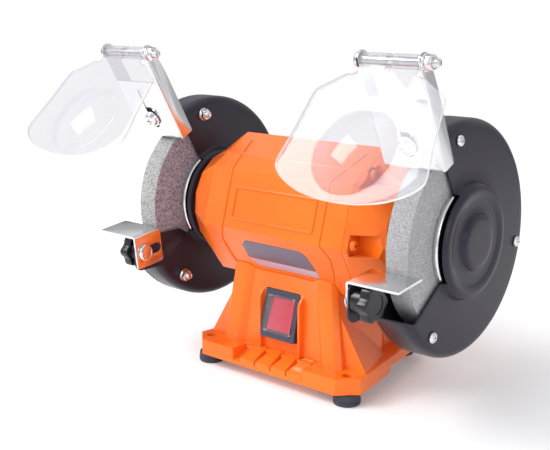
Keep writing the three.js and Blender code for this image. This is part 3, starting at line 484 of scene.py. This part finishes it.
def mouth_bottom(r):
    """Angle of the mouth's lower edge at radius r: it turns up where it crosses the rim."""
    bend, reach, drop = MOUTH["bend"], MOUTH["reach"], MOUTH["drop"]
    if r <= bend:
        return GUARD["bottom"]
    y, z = on_circle(bend, GUARD["bottom"])
    t = (r - bend) / (math.hypot(reach, drop) - bend)
    y = y + (-reach - y) * t
    z = z + (SHAFT_HEIGHT - drop - z) * t
    return math.degrees(math.atan2(z - SHAFT_HEIGHT, -y))


def guard_skin(profile, inward):
    """Sheet of even thickness turned from an [x, radius] profile, open at the mouth beyond the boss's lip."""
    steps = 84
    mouth_steps = 28
    points, faces = [], []
    lip = GUARD["lip"] + 0.01
    for x, r in profile:
        top, bottom = GUARD["top"], mouth_bottom(r) + 360
        turns = [top + (bottom - top) * k / steps for k in range(steps)]
        turns += [bottom + (top + 360 - bottom) * k / mouth_steps for k in range(mouth_steps)]
        points += [(x, *on_circle(r, a)) for a in turns]
    n = steps + mouth_steps
    for i in range(len(profile) - 1):
        for k in range(n):
            if k >= steps and max(profile[i][1], profile[i + 1][1]) > lip:
                continue
            j = (k + 1) % n
            face = distinct([i * n + k, i * n + j, (i + 1) * n + j, (i + 1) * n + k], points)
            if len(face) > 2:
                faces.append(face)
    skin = mesh_object(points, faces)
    solid = skin.modifiers.new("sheet", "SOLIDIFY")
    solid.thickness = GUARD["wall"]
    solid.offset = inward
    solid.use_even_offset = True
    freeze(skin)
    return bevelled(skin, 0.3, 2, 50)


def edge_round(face, steps=8):
    """Profile of the cup's rounded edge, from its band round to its closed face."""
    r, edge = GUARD["radius"], GUARD["edge"]
    return [
        (face - edge + edge * math.cos(a), r - edge + edge * math.sin(a))
        for a in (math.radians(90 - 90 * i / steps) for i in range(steps + 1))
    ]


def smooth_profile(points, steps=4):
    """A Catmull-Rom curve through (x, radius) points, so that pressed steps roll over softly."""
    made = []
    for i in range(len(points) - 1):
        p0, p1 = Vector(points[max(i - 1, 0)]), Vector(points[i])
        p2, p3 = Vector(points[i + 1]), Vector(points[min(i + 2, len(points) - 1)])
        for k in range(steps):
            t = k / steps
            made.append(tuple(0.5 * (
                2 * p1 + (p2 - p0) * t + (2 * p0 - 5 * p1 + 4 * p2 - p3) * t * t
                + (3 * p1 - p0 - 3 * p2 + p3) * t ** 3
            )))
    made.append(tuple(points[-1]))
    return made


def ear(x0, x1, bolt):
    front, bottom, top = bolt[0] - 7.4, bolt[1] - 13.6, bolt[1] + 10.6
    outline = [(-40, top), (front + 3, top), (front, top - 3)]
    outline += arc((front + 6, bottom + 6), 6, 180, 270, 8)
    outline += [(-48, bottom), (-34, top - 4)]
    plate = cut(prism(outline, x0, x1), rod(x0 - 1, x1 + 1, M6 + GAP, *bolt))
    return bevelled(plate, 0.25)


def bracket_tab(side):
    x = guard_middle(side)
    near = BRACKET["sheet"] + GAP
    far = near + GUARD["wall"]
    r = GUARD["radius"]
    outline = [
        on_circle(r - GUARD["wall"], GUARD["top"] + 3), on_circle(r - GUARD["wall"], GUARD["top"]),
        bracket_point(side, TAB["low"], near), bracket_point(side, TAB["high"], near),
        bracket_point(side, TAB["high"], far), bracket_point(side, TAB["low"] + 1.3, far),
        on_circle(r, GUARD["top"]), on_circle(r, GUARD["top"] + 3),
    ]
    return bevelled(prism(outline, x - TAB["half"], x + TAB["half"]), 0.25)


def guard_cup(side):
    face = SIDES[side]["face"]
    top = face + GUARD["boss_height"]
    boss = GUARD["boss"]
    step = [(face, boss + 2), (face + 0.3, boss), (face + 2.2, boss - 0.9), (face + 4.3, boss - 1.7)]
    step += smooth_profile([
        (face + 4.3, boss - 1.7), (top - 0.7, boss - 3.2), (top, boss - 5.8),
        (top - 0.4, boss - 9), (top - 1, boss - 11.5), (top - 1.1, boss - 15),
    ])[1:]
    middle = [(top - 1.1, 13)] if side == "left" else smooth_profile([
        (top - 1.1, 18.8), (top - 0.7, 18.2), (top + 1.2, 17),
        (top + 1.9, 15.4), (top + 2.2, 12), (top + 2.2, 0),
    ])
    profile = [(face - GUARD["band"], GUARD["radius"])] + edge_round(face)
    profile += [(face, boss + (GUARD["radius"] - boss) * t) for t in (0.75, 0.5, 0.25)] + step + middle
    parts = [guard_skin(profile, -1), bracket_tab(side)]
    if side == "left":
        parts.append(ear(face - GUARD["wall"], face, SIDES[side]["rest_bolt"]))
    return union(*parts)


def guard_plate(side):
    face = SIDES[side]["face"]
    wall, r = GUARD["wall"], GUARD["radius"]
    back, rim = face - GUARD["depth"], face - GUARD["band"] - GAP
    corner = [(rim - 0.6, r - 0.1), (back + 2.6, r - 1.3), (back + 0.4, r - 3.2), (back, r - 6)]
    profile = [(rim, r)] + smooth_profile(corner, 5)
    profile += [(back, 62), (back, 50), (back, GUARD["lip"])]
    if side == "right":
        profile += [(back, 13)]
    else:
        profile += smooth_profile([
            (back, 27), (back - 0.6, 24.6), (back - 5, 20.6), (back - 5.6, 18), (back - 5.6, 0),
        ])
    skin = guard_skin(profile, -1)
    if side == "right":
        return union(skin, ear(back, back + wall, SIDES[side]["rest_bolt"]))
    return skin


# ---- brackets ----
def guard_middle(side):
    return SIDES[side]["face"] - GUARD["depth"] / 2


def bracket_point(side, up, back):
    lean = math.radians(SIDES[side]["lean"])
    y, z = BRACKET["low"]
    return (
        y - up * math.sin(lean) + back * math.cos(lean),
        z + up * math.cos(lean) + back * math.sin(lean),
    )


def hinge_axis(side):
    return bracket_point(side, BRACKET["hinge_up"], BRACKET["hinge_back"])


def bracket_axes(side):
    """Across, up the web and backwards."""
    lean = math.radians(SIDES[side]["lean"])
    return (1, 0, 0), (0, -math.sin(lean), math.cos(lean)), (0, math.cos(lean), math.sin(lean))


def shield_bracket(side):
    across, up, back = bracket_axes(side)
    at = (guard_middle(side), *bracket_point(side, 0, 0))
    half, sheet, depth = BRACKET["width"] / 2, BRACKET["sheet"], BRACKET["depth"]
    bend = 2.2
    outer = arc((bend - half, bend), bend, 180, 270, 6) + arc((half - bend, bend), bend, 270, 360, 6)
    inner = arc((half - bend, bend), bend - sheet, 360, 270, 6)
    inner += arc((bend - half, bend), bend - sheet, 270, 180, 6)
    channel = [(-half, depth)] + outer + [(half, depth), (half - sheet, depth)] + inner
    channel += [(sheet - half, depth)]
    eye, hinge_up, hinge_back, web = 5.6, BRACKET["hinge_up"], BRACKET["hinge_back"], BRACKET["web"]
    cheek = rounded([(0.0, 0.0), (0.0, depth), (web + 1.5, depth), (hinge_up - 2, hinge_back + 5.4)], 1.6)
    cheek += arc((hinge_up, hinge_back), eye, 100, -90, 16) + [(hinge_up - 8, 0)]
    length = hinge_up + eye + 2
    body = prism(channel, 0, length, (across, back, up), at)
    body = common(body, prism(cheek, -half - 1, half + 1, (up, back, across), at))
    opening = prism(
        [(sheet - half, web), (half - sheet, web), (half - sheet, length + 9), (sheet - half, length + 9)],
        -4, depth + 4, (across, up, back), at,
    )
    front = prism(
        [(-half - 1, web + 2.5), (half + 1, web + 2.5), (half + 1, length + 9), (-half - 1, length + 9)],
        -4, 0.0, (across, up, back), at,
    )
    slot = prism(
        [(b, a) for a, b in stadium(*BRACKET["slot"], M6 + GAP)], -3, 6, (across, up, back), at,
    )
    pin = rod(at[0] - half - 2, at[0] + half + 2, HINGE["shank"] + GAP, *hinge_axis(side))
    return bevelled(cut(body, opening, front, slot, pin), 0.22, 2, 40)


def onto_bracket(side, obj, up):
    """Turns a shape made along X so that its +X points forwards from the bracket's web."""
    across, upwards, back = (Vector(a) for a in bracket_axes(side))
    at = Vector((guard_middle(side), *bracket_point(side, up, 0)))
    basis = Matrix((-back, across, upwards)).transposed().to_4x4()
    obj.data.transform(Matrix.Translation(at) @ basis)
    return obj


def cross_recess(x, y, z, depth, reach, width):
    """The tool that cuts a cross recess into a head whose top is at x and points to +X."""
    arms = [
        [(-reach, -width / 2), (reach, -width / 2), (reach, width / 2), (-reach, width / 2)],
        [(-width / 2, -reach), (width / 2, -reach), (width / 2, reach), (-width / 2, reach)],
    ]
    return union(*[prism(a, x - depth, x + 3, at=(0, y, z)) for a in arms])


def pan_head(x, radius, height, y, z):
    """A domed head that sits on x and stands up towards +X, with its cross recess."""
    dome = [
        (x + height * math.sin(math.radians(a)) ** 0.8, radius * (0.35 + 0.65 * math.cos(math.radians(a))))
        for a in range(10, 91, 10)
    ]
    head = lathe([(x, 0), (x, radius)] + dome + [(x + height, 0)], SMALL, y, z)
    recess = cross_recess(x + height, y, z, height * 0.6, radius * 0.55, radius * 0.22)
    return bevelled(cut(head, recess), 0.08, 2, 40)


def hex_nut(x0, x1, radius, bore, y, z, turn=0.0):
    """Hexagon nut with its outer corners chamfered."""
    angles = [math.radians(turn + 60 * k) for k in range(6)]
    low, high = min(x0, x1), max(x0, x1)
    body = prism([(radius * math.cos(a), radius * math.sin(a)) for a in angles], low, high, at=(0, y, z))
    chamfer, flat = radius * 0.12, radius * 0.88
    slope = chamfer * 0.6
    profile = [(low, 0), (low, flat), (low + slope, radius), (high - slope, radius), (high, flat), (high, 0)]
    turned = lathe(profile, SMALL, y, z)
    body = common(body, turned)
    if bore:
        body = cut(body, rod(low - 1, high + 1, bore, y, z))
    return bevelled(body, 0.12, 2, 28)


def threaded_end(x0, x1, radius, y, z, pitch=1.0):
    """A bolt's end with its thread cut as close grooves and a small chamfer."""
    sign = 1 if x1 > x0 else -1
    count = int(abs(x1 - x0) / pitch)
    profile = [(x0, 0), (x0, radius)]
    for k in range(count):
        x = x0 + sign * pitch * k
        crest, root, rise = (x + sign * pitch * part for part in (0.15, 0.5, 0.85))
        profile += [(crest, radius), (root, radius * 0.86), (rise, radius)]
    profile += [(x1 - sign * 0.3, radius * 0.95), (x1, radius * 0.75), (x1, 0)]
    return lathe(profile, SMALL, y, z)


def washer(x0, x1, radius, bore, y, z):
    ring = lathe([(x0, bore), (x0, radius), (x1, radius), (x1, bore)], SMALL, y, z)
    return bevelled(ring, 0.15)


def bracket_bolt(side):
    bolt = BRACKET_BOLT
    back = BRACKET["sheet"] + GUARD["wall"] + 2 * GAP
    made = joined(
        washer(GAP, bolt["seat"], bolt["washer"], M6 - 0.2, 0, 0),
        pan_head(bolt["seat"], bolt["head"], bolt["height"], 0, 0),
        threaded_end(-back, -back - bolt["tail"], M6, 0, 0),
        hex_nut(-back - bolt["nut_thick"], -back, bolt["nut"], M6 - 0.4, 0, 0),
    )
    return onto_bracket(side, made, BRACKET["bolt"])


def hinge_bolt(side):
    x = guard_middle(side)
    low = x - BRACKET["width"] / 2 - GAP
    y, z = hinge_axis(side)
    dome = [
        (low - HINGE["dome"] * math.sin(math.radians(a)), HINGE["head"] * math.cos(math.radians(a)) ** 0.7)
        for a in range(0, 90, 10)
    ]
    head = lathe([(low, 0)] + dome + [(low - HINGE["dome"], 0)], SMALL, y, z)
    nut_end = x + BRACKET["width"] / 2 + GAP + HINGE["nut_end"]
    shank = lathe([(low, 0), (low, HINGE["shank"]), (nut_end, HINGE["shank"]), (nut_end, 0)], SMALL, y, z)
    thread = threaded_end(nut_end, x + BRACKET["width"] / 2 + HINGE["tail"], HINGE["shank"], y, z, 0.8)
    return joined(head, shank, thread)


def hinge_nut(side):
    high = guard_middle(side) + BRACKET["width"] / 2 + GAP
    y, z = hinge_axis(side)
    bore = HINGE["shank"] + 0.05
    return joined(
        washer(high, high + HINGE["washer_end"], HINGE["washer"], bore, y, z),
        hex_nut(high + HINGE["nut_start"], high + HINGE["nut_end"], HINGE["nut"], bore, y, z, 12),
    )


# ---- eye shields ----
SHIELD_NECK = [(SHIELD["neck"], 0), (SHIELD["neck"], 9), (22, 10.2)]
SHIELD_SIDE = [(26, 10.6), (42.6, 21.2), (44, 24.4), (46.6, 48), (50, 67)]
SHIELD_FOOT = [(50, 67), (49.4, 72.6), (43, 79), (30, 85.2), (14, 88.6), (0, 89.4)]


def shield_outline(per_side=12):
    """The shield's edge as a closed loop in (across, down): straight sides and a curved foot."""
    spans = zip(SHIELD_SIDE, SHIELD_SIDE[1:])
    straight = [tuple(Vector(a).lerp(Vector(b), k / 4)) for a, b in spans for k in range(4)]
    half = SHIELD_NECK + straight + smooth_profile(SHIELD_FOOT, per_side)
    return half + [(-a, b) for a, b in reversed(half[:-1])]


def dome_height(r):
    """Height of the lens bulge at a distance from its middle, with a soft rim."""
    lens, dome = SHIELD["lens"], SHIELD["dome"]
    sphere = (lens * lens + dome * dome) / (2 * dome)
    if r >= lens:
        return 0.0
    return math.sqrt(sphere * sphere - r * r) - sphere + dome


def shield_rows(outline):
    """Rings of (across, down, height) from the lens's middle out to the sheet's edge."""
    lens, at = SHIELD["lens"], SHIELD["lens_at"]
    rows = [[(0.0, at, dome_height(0))] * len(outline)]
    for r in [lens * t for t in (0.12, 0.25, 0.38, 0.5, 0.62, 0.74, 0.85, 0.93, 0.975, 1.0)]:
        ways = [Vector((a, b - at)).normalized() for a, b in outline]
        rows.append([(way.x * r, at + way.y * r, dome_height(r)) for way in ways])
    for t in (0.05, 0.3, 0.6, 1.0):
        rows.append([])
        for a, b in outline:
            ray = Vector((a, b - at))
            start = ray.normalized() * lens
            point = start + (ray - start) * t
            rows[-1].append((point.x, at + point.y, 0.0))
    return rows


def ring_faces(rings, n, points):
    """Faces between neighbouring closed rings of n points."""
    faces = []
    for i in range(rings - 1):
        for k in range(n):
            j = (k + 1) % n
            face = distinct([i * n + k, i * n + j, (i + 1) * n + j, (i + 1) * n + k], points)
            if len(face) > 2:
                faces.append(face)
    return faces


def eye_shield(side):
    """The clear shield with its hinge knuckles, and a test for the faces of its cut edge, which get a
    near-white painted highlight.
    """
    tilt = math.radians(SIDES[side]["shield_tilt"])
    y, z = hinge_axis(side)
    origin = Vector((guard_middle(side), y, z))
    across = Vector((-1, 0, 0))
    down = Vector((0, -math.sin(tilt), -math.cos(tilt)))
    facing = Vector((0, -math.cos(tilt), math.sin(tilt)))
    sheet, neck = SHIELD["sheet"], SHIELD["neck"]
    rows = shield_rows(shield_outline())
    points = [origin + across * a + down * b + facing * (c + sheet / 2) for row in rows for a, b, c in row]
    skin = mesh_object(points, ring_faces(len(rows), len(rows[0]), points))
    solid = skin.modifiers.new("sheet", "SOLIDIFY")
    solid.thickness = sheet
    solid.offset = 0
    freeze(skin)
    bevelled(skin, 0.45, 3, 50)
    x = origin.x
    knuckle = bevelled(rod(x - neck, x + neck, SHIELD["knuckle"], y, z, 48), 0.5, 3)
    gap = prism([(-8, -8), (7, -8), (7, 8), (-8, 8)], -1.5, 1.5, (down, facing, across), origin)
    bore = rod(x - neck - 1, x + neck + 1, HINGE["shank"] + GAP, y, z)
    shield = cut(union(skin, knuckle), gap, bore)
    return shield, lambda face: abs(face.normal.dot(facing)) < 0.5 and (face.center - origin).dot(down) > 9


# ---- tool rests ----
def ear_faces(side):
    face = SIDES[side]["face"]
    back = face - GUARD["depth"]
    return (face, face - GUARD["wall"]) if side == "left" else (back, back + GUARD["wall"])


def tool_rest(side):
    spec = SIDES[side]
    out, front, bolt = spec["out"], spec["rest_front"], spec["rest_bolt"]
    width, depth, drop, sheet, top = (REST[k] for k in ("width", "depth", "drop", "sheet", "top"))
    tab_face = ear_faces(side)[0] - out * GAP
    tilt = math.radians(REST["tilt"])
    along = (0, math.cos(tilt), math.sin(tilt))
    upwards = (0, -math.sin(tilt), math.cos(tilt))
    axes = ((out, 0, 0), upwards, along)
    at = (tab_face, *bolt)
    bend = 2.4
    outline = [(-sheet, top - drop)] + arc((bend - sheet, top - bend), bend, 180, 90, 8)
    outline += [(width - sheet, top), (width - sheet, top - sheet)]
    outline += arc((bend - sheet, top - bend), bend - sheet, 90, 180, 8) + [(0, top - drop)]
    body = prism(outline, front, front + depth, axes, at)
    low = top - drop
    side_view = rounded(
        [(front, low), (front + depth, low), (front + depth, top + 3), (front, top + 3)], 2.4, 6,
    )
    body = common(body, prism(side_view, -60, 60, (along, upwards, (1, 0, 0)), at))
    slot = prism(
        stadium(0, REST["travel"], REST["slot"]), -6, 6,
        (along, upwards, (1, 0, 0)), (tab_face - out * sheet / 2, *bolt),
    )
    return bevelled(cut(body, slot), 0.3, 3, 40)


def rest_bolt(side):
    spec = SIDES[side]
    out, at = spec["out"], spec["rest_bolt"]
    start = ear_faces(side)[0] - out * (2 * GAP + REST["sheet"])
    end = ear_faces(side)[1] + out * (GAP + spec["hub"] + KNOB["grip"])
    radius, rim, height = (REST_BOLT[k] for k in ("head", "rim", "dome"))
    dome = [
        (start - out * (rim + height * math.sin(math.radians(a))), radius * math.cos(math.radians(a)) ** 0.75)
        for a in range(0, 90, 9)
    ]
    head = lathe([(start, 0), (start, radius)] + dome + [(start - out * (rim + height), 0)], SMALL, *at)
    return joined(head, rod(start, end, M6, *at))


def rest_knob(side):
    spec = SIDES[side]
    out, at = spec["out"], spec["rest_bolt"]
    start = ear_faces(side)[1] + out * GAP
    steps = 144
    outline = []
    for k in range(steps):
        a = 2 * math.pi * k / steps
        r = KNOB["star"] + KNOB["lobe"] * math.cos(KNOB["lobes"] * a)
        outline.append((at[0] + r * math.cos(a), at[1] + r * math.sin(a)))
    near, far = start + out * spec["hub"], start + out * (spec["hub"] + KNOB["thick"])
    disc = bevelled(prism(outline, min(near, far), max(near, far)), 0.9, 4, 50)
    hub = [(start, 0), (start, KNOB["hub"] - 0.5), (start + out * 0.5, KNOB["hub"])]
    hub += [(near + out, KNOB["hub"]), (near + out, 0)]
    dish = [(far + out, 0), (far + out, 6.6), (far - out * 0.5, 6.2), (far - out * 0.6, 0)]
    knob = cut(union(disc, lathe(hub, 64, *at)), lathe(dish, 64, *at))
    bore = rod(start - out, start + out * (spec["hub"] + KNOB["grip"] + 1), M6 + GAP, *at)
    return cut(knob, bore)


# ---- wheels and shaft pieces ----
def grinding_wheel(out):
    a, b = (out * (WHEEL["centre"] + s * WHEEL["width"] / 2) for s in (-1, 1))
    bore, radius = WHEEL["bore"], WHEEL["radius"]
    return bevelled(lathe([(a, bore), (a, radius), (b, radius), (b, bore)], ROUND * 2), 0.6, 3)


def mark_faces(obj, material, chosen):
    """Gives the faces at these places a second material."""
    obj.data.materials.append(material)
    for index in chosen:
        obj.data.polygons[index].material_index = 1


def clamp_flange(face, direction):
    thick, radius, recess, lip, bore = (FLANGE[k] for k in ("thick", "radius", "recess", "lip", "bore"))
    dish = 0.6
    edge = 1.6
    turns = (0, 0.3, 0.6, 0.9, 1.2, math.pi / 2)
    roll = [(lip - 1.5 + 2 * math.sin(a), radius - edge + edge * math.cos(a)) for a in turns]
    profile = [(0, recess), (0, radius - 0.3), (0.3, radius)] + roll
    profile += [(thick, bore), (dish, bore), (dish, recess)]
    return lathe([(face + direction * (GAP + d), r) for d, r in profile], ROUND)


def arbor_nut(out):
    face = out * (WHEEL["centre"] + WHEEL["width"] / 2 + 2 * GAP + FLANGE["thick"])
    return hex_nut(face, face + out * NUT["thick"], NUT["radius"], 6.1, 0, SHAFT_HEIGHT)


def guard_screw(side, angle):
    spec = SIDES[side]
    face, out = spec["face"], spec["out"]
    outer, inner = (face, face - GUARD["depth"]) if out > 0 else (face - GUARD["depth"], face)
    y, z = on_circle(SCREWS["circle"], angle)
    head = pan_head(0, SCREWS["head"], SCREWS["height"], 0, 0)
    flip = Matrix.Diagonal((out, 1, 1, 1))
    head.data.transform(Matrix.Translation((outer + out * GAP, y, z)) @ flip)
    if out < 0:
        head.data.flip_normals()
    shank = SCREWS["shank"]
    seat, nut_end, tail = (inner - out * SCREWS[k] for k in ("washer_end", "nut_end", "tail"))
    return joined(
        head,
        washer(seat, inner - out * GAP, SCREWS["washer"], shank, y, z),
        hex_nut(nut_end, seat, SCREWS["nut"], shank - 0.2, y, z, angle),
        threaded_end(seat, tail, shank, y, z, 0.7),
    )


def tie_bolt(y, z):
    seat = TIE_SEAT + GAP
    head = pan_head(seat, TIE_BOLT["head"], TIE_BOLT["height"], y, z)
    return joined(head, rod(-TIE_SEAT, seat + 0.5, TIE_BOLT["shank"], y, z, 24))


def foot(x, y):
    """Moulded rubber foot: a rounded pad with a ring moulded round it, and its stem."""
    r, h = FOOT["radius"], FOOT["height"]
    profile = [(0, 0), (0, r - 1.1), (0.35, r - 0.4), (1.1, r), (2.6, r), (3.0, r - 0.35), (3.4, r)]
    profile += [(h - 0.6, r - 0.4), (h, r - 0.9), (h, FOOT["stem"])]
    profile += [(FOOT["stem_top"], FOOT["stem"]), (FOOT["stem_top"], 0)]
    made = lathe(profile, 64, 0, 0)
    made.data.transform(Matrix.Translation((x, y, 0)) @ Matrix.Rotation(-math.pi / 2, 4, "Y"))
    return made


# ---- motor housing details ----
APOTHEM = 49.7
BARREL_TURN = 61


def facet_axes(k):
    """Along the shaft, down the facet and out of it, for the k-th facet (-1 is the front one)."""
    a = math.radians(BARREL_TURN + 45 * k)
    return (1, 0, 0), (0, -math.sin(a), -math.cos(a)), (0, -math.cos(a), math.sin(a))


def on_facet(outline, k, low, high):
    """A plate on a facet, its outline in (x, distance down from the facet's middle)."""
    axes = facet_axes(k)
    at = Vector((0, 0, SHAFT_HEIGHT)) + Vector(axes[2]) * APOTHEM
    return prism(outline, low, high, axes, at)


def band(points, width):
    """Outline of a strip of even width along a line of points."""
    left, right = [], []
    for i, point in enumerate(points):
        here = Vector(point)
        ways = [Vector(points[i]) - Vector(points[i - 1])] if i else []
        ways += [Vector(points[i + 1]) - here] if i + 1 < len(points) else []
        sides = [Vector((-way.y, way.x)).normalized() for way in ways]
        mean = sum(sides, Vector((0, 0))).normalized()
        reach = width / 2 / mean.dot(sides[0])
        left.append(tuple(here + mean * reach))
        right.append(tuple(here - mean * reach))
    return left + right[::-1]


def frame_lines():
    """Pressed lines on the housing: a panel on the front facet and a frame that wraps round it."""
    low, high, width = -0.5, 0.65, 1.7
    top, bottom, half, facet, ring = -9.2, 14.4, 36, 20.6, 42.5
    outer = rounded([(-half, top), (half, top), (half, bottom), (-half, bottom)], 2)
    inside = rounded([
        (width - half, top + width), (half - width, top + width),
        (half - width, bottom - width), (width - half, bottom - width),
    ], 1.2)
    ribs = [cut(on_facet(outer, -1, low, high), on_facet(inside, -1, low - 1, high + 1))]
    for sign in (-1, 1):
        ribs.append(on_facet(band([(sign * ring, -facet), (sign * ring, facet)], width), -1, low, high))
        ribs.append(on_facet(band([(sign * 50.5, -12), (sign * ring, facet)], width), 0, low, high))
        lower = [(sign * ring, -facet), (sign * 48, -10), (sign * 45.5, 6), (sign * 43, 12)]
        ribs.append(on_facet(band(lower, width), -2, low, high))
    return joined(*[bevelled(rib, 0.25, 2, 40) for rib in ribs])


def label_plate():
    outline = [(-24.3, -11.8), (22.4, -11.8), (27.4, -8.9), (30.2, -1.5), (31.7, 3.7)]
    outline += [(-27.8, 3.7), (-29.6, -7.6)]
    return bevelled(on_facet(rounded(outline, 1.2, 3), -2, -0.2, 0.3), 0.1, 2, 40)


def label_strip():
    outline = [(-27.6, 4.2), (31.9, 4.2), (33.2, 9.6), (-19.8, 9.6)]
    return bevelled(on_facet(rounded(outline, 1.0, 3), -2, -0.2, 0.25), 0.1, 2, 40)


def trim(obj, name, body, material):
    """Places a piece that has no CAD node of its own."""
    obj.data.transform(TO_FRAME)
    obj.name = name
    obj.data.name = name
    obj.data.shade_smooth()
    obj.data.set_sharp_from_angle(angle=math.radians(35))
    obj.data.materials.clear()
    obj.data.materials.append(material)
    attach(obj, body)


# ---- assembly ----
def build_guards_and_rests():
    for side, spec in SIDES.items():
        out = spec["out"]
        place(guard_cup(side), "guard_cup_" + side, smooth=40)
        place(guard_plate(side), "guard_plate_" + side, smooth=40)
        for k, angle in enumerate(SCREWS["angles"]):
            place(guard_screw(side, angle), f"guard_screw_{side}_{k + 1}")
        wheel = place(grinding_wheel(out), "grinding_wheel_" + side)
        if side == "left":
            rim = [face.index for face in wheel.data.polygons if abs(face.normal.x) < 0.6]
            mark_faces(wheel, WHEEL_RIM, rim)
        inner_face = out * (WHEEL["centre"] - WHEEL["width"] / 2)
        outer_face = out * (WHEEL["centre"] + WHEEL["width"] / 2)
        place(clamp_flange(inner_face, -out), "inner_flange_" + side)
        place(clamp_flange(outer_face, out), "outer_flange_" + side)
        place(arbor_nut(out), "arbor_nut_" + side)
        place(shield_bracket(side), "shield_bracket_" + side)
        place(bracket_bolt(side), "bracket_bolt_" + side)
        place(hinge_bolt(side), "hinge_bolt_" + side)
        place(hinge_nut(side), "hinge_nut_" + side)
        shield, is_highlit_edge = eye_shield(side)
        # The shield's cut edge faces get the near-white painted highlight.
        edge = [face.index for face in shield.data.polygons if is_highlit_edge(face)]
        mark_faces(place(shield, "eye_shield_" + side, smooth=30), SHIELD_EDGE_HIGHLIGHT, edge)
        place(tool_rest(side), "tool_rest_" + side)
        place(rest_bolt(side), "rest_bolt_" + side)
        place(rest_knob(side), "rest_knob_" + side)


def build_motor_and_base():
    for k, at in enumerate(TIE_BOLTS):
        place(tie_bolt(*at), f"tie_bolt_{k + 1}")
    for name, at in FEET.items():
        place(foot(*at), "foot_" + name)
    # The weld hides dark specks behind the louvres, but leaves folded triangles there.
    from_cad("base_housing", 0.9, weld=0.25)
    from_cad("motor_shell", 0.5, ridge=2)
    from_cad("end_bell_left", 0.6, ridge=2)
    from_cad("end_bell_right", 0.6, ridge=2)
    from_cad("switch_body", 0.45)
    from_cad("switch_rocker", 0.35)
    cap = from_cad("switch_dust_cap", 0.7)
    # The cap's small edge faces get the whitish painted highlight.
    mark_faces(cap, CAP_EDGE_HIGHLIGHT, [face.index for face in cap.data.polygons if face.area < CAP_HIGHLIGHT_AREA])
    from_cad("cord_gland", 0.3)
    from_cad("base_plate", 0.3)


def build_trim():
    trim(frame_lines(), "housing_frame_lines", "stand", LOOKS["orange_paint"])
    trim(label_plate(), "label_plate", "stand", LABEL)
    trim(label_strip(), "label_strip", "stand", LABEL_STRIP)


def dress_hidden_nodes():
    """The enclosed nodes keep their CAD shape and get their finish."""
    for name, obj in frame["nodes"].items():
        if not obj.hide_render:
            obj.data.materials.clear()
            obj.data.materials.append(LOOKS[SLOT_OF[name]])


# ---- studio ----
def build_world():
    """A white sweep for the camera and a banded soft surround for light and reflections."""
    world = bpy.data.worlds.new("studio")
    world.use_nodes = True
    tree = world.node_tree
    surround = tree.nodes["Background"]
    backdrop = tree.nodes.new("ShaderNodeBackground")
    backdrop.inputs["Color"].default_value = (1, 1, 1, 1)
    direction = tree.nodes.new("ShaderNodeTexCoord")
    tilt = tree.nodes.new("ShaderNodeVectorMath")
    tilt.operation = "DOT_PRODUCT"
    tilt.inputs[1].default_value = Vector((0.35, -0.35, 0.87))
    bands = tree.nodes.new("ShaderNodeValToRGB")
    stops = [(0.0, 0.4), (0.4, 0.42), (0.53, 0.9), (0.64, 0.45), (0.8, 0.85), (1.0, 0.7)]
    elements = bands.color_ramp.elements
    while len(elements) < len(stops):
        elements.new(0.5)
    for element, (position, level) in zip(elements, stops):
        element.position = position
        element.color = (level, level, level * 1.02, 1)
    spread = tree.nodes.new("ShaderNodeMapRange")
    spread.inputs["From Min"].default_value = -1
    path = tree.nodes.new("ShaderNodeLightPath")
    mix = tree.nodes.new("ShaderNodeMixShader")
    link = tree.links.new
    link(direction.outputs["Generated"], tilt.inputs[0])
    link(tilt.outputs["Value"], spread.inputs["Value"])
    link(spread.outputs["Result"], bands.inputs["Fac"])
    link(bands.outputs["Color"], surround.inputs["Color"])
    link(path.outputs["Is Camera Ray"], mix.inputs["Fac"])
    link(surround.outputs["Background"], mix.inputs[1])
    link(backdrop.outputs["Background"], mix.inputs[2])
    link(mix.outputs["Shader"], tree.nodes["World Output"].inputs["Surface"])
    bpy.context.scene.world = world


def aim(obj, at, target):
    obj.location = at
    obj.rotation_euler = (Vector(target) - Vector(at)).to_track_quat("-Z", "Y").to_euler()
    bpy.context.scene.collection.objects.link(obj)


def build_studio():
    half = 0.9
    corners = [(-half, -half, 0), (half, -half, 0), (half, half, 0), (-half, half, 0)]
    floor = mesh_object(corners, [(0, 1, 2, 3)], "floor")
    sheet = principled(
        "floor_white", (0.83, 0.83, 0.835), 0.95, Emission_Color=(1, 1, 1, 1), Emission_Strength=0.12,
    )
    floor.data.materials.append(sheet)
    build_world()
    bpy.context.scene.view_settings.view_transform = "Standard"
    sun = bpy.data.lights.new("key", "SUN")
    sun.energy = 1.2
    sun.angle = math.radians(55)
    key = bpy.data.objects.new("key", sun)
    key.visible_glossy = False
    aim(key, (-0.45, -0.85, 0.9), (0, 0, 0))
    lamps = (
        ("softbox", (-0.66, -0.6, 0.93), 0.5, 8),
        ("side", (1.4, -0.9, 0.7), 0.7, 3),
        ("top", (-0.2, 0.2, 1.6), 0.8, 1.5),
    )
    for name, at, size, power in lamps:
        light = bpy.data.lights.new(name, "AREA")
        light.size = size
        light.energy = power
        aim(bpy.data.objects.new(name, light), at, (0, 0, 0.1))


def build_camera():
    """The camera looks down its fitted line of sight, level, from the front right."""
    azimuth, elevation = math.radians(CAMERA["azimuth"]), math.radians(CAMERA["elevation"])
    level = math.cos(elevation)
    sight = Vector((-math.sin(azimuth) * level, math.cos(azimuth) * level, -math.sin(elevation)))
    data = bpy.data.cameras.new("camera")
    data.sensor_width = 36
    data.lens = CAMERA["lens"]
    camera = bpy.data.objects.new("camera", data)
    camera.location = TO_FRAME @ Vector(CAMERA["at"])
    camera.rotation_euler = sight.to_track_quat("-Z", "Y").to_euler()
    bpy.context.scene.collection.objects.link(camera)
    bpy.context.scene.camera = camera


build_camera()
build_studio()
build_guards_and_rests()
build_motor_and_base()
build_trim()
dress_hidden_nodes()
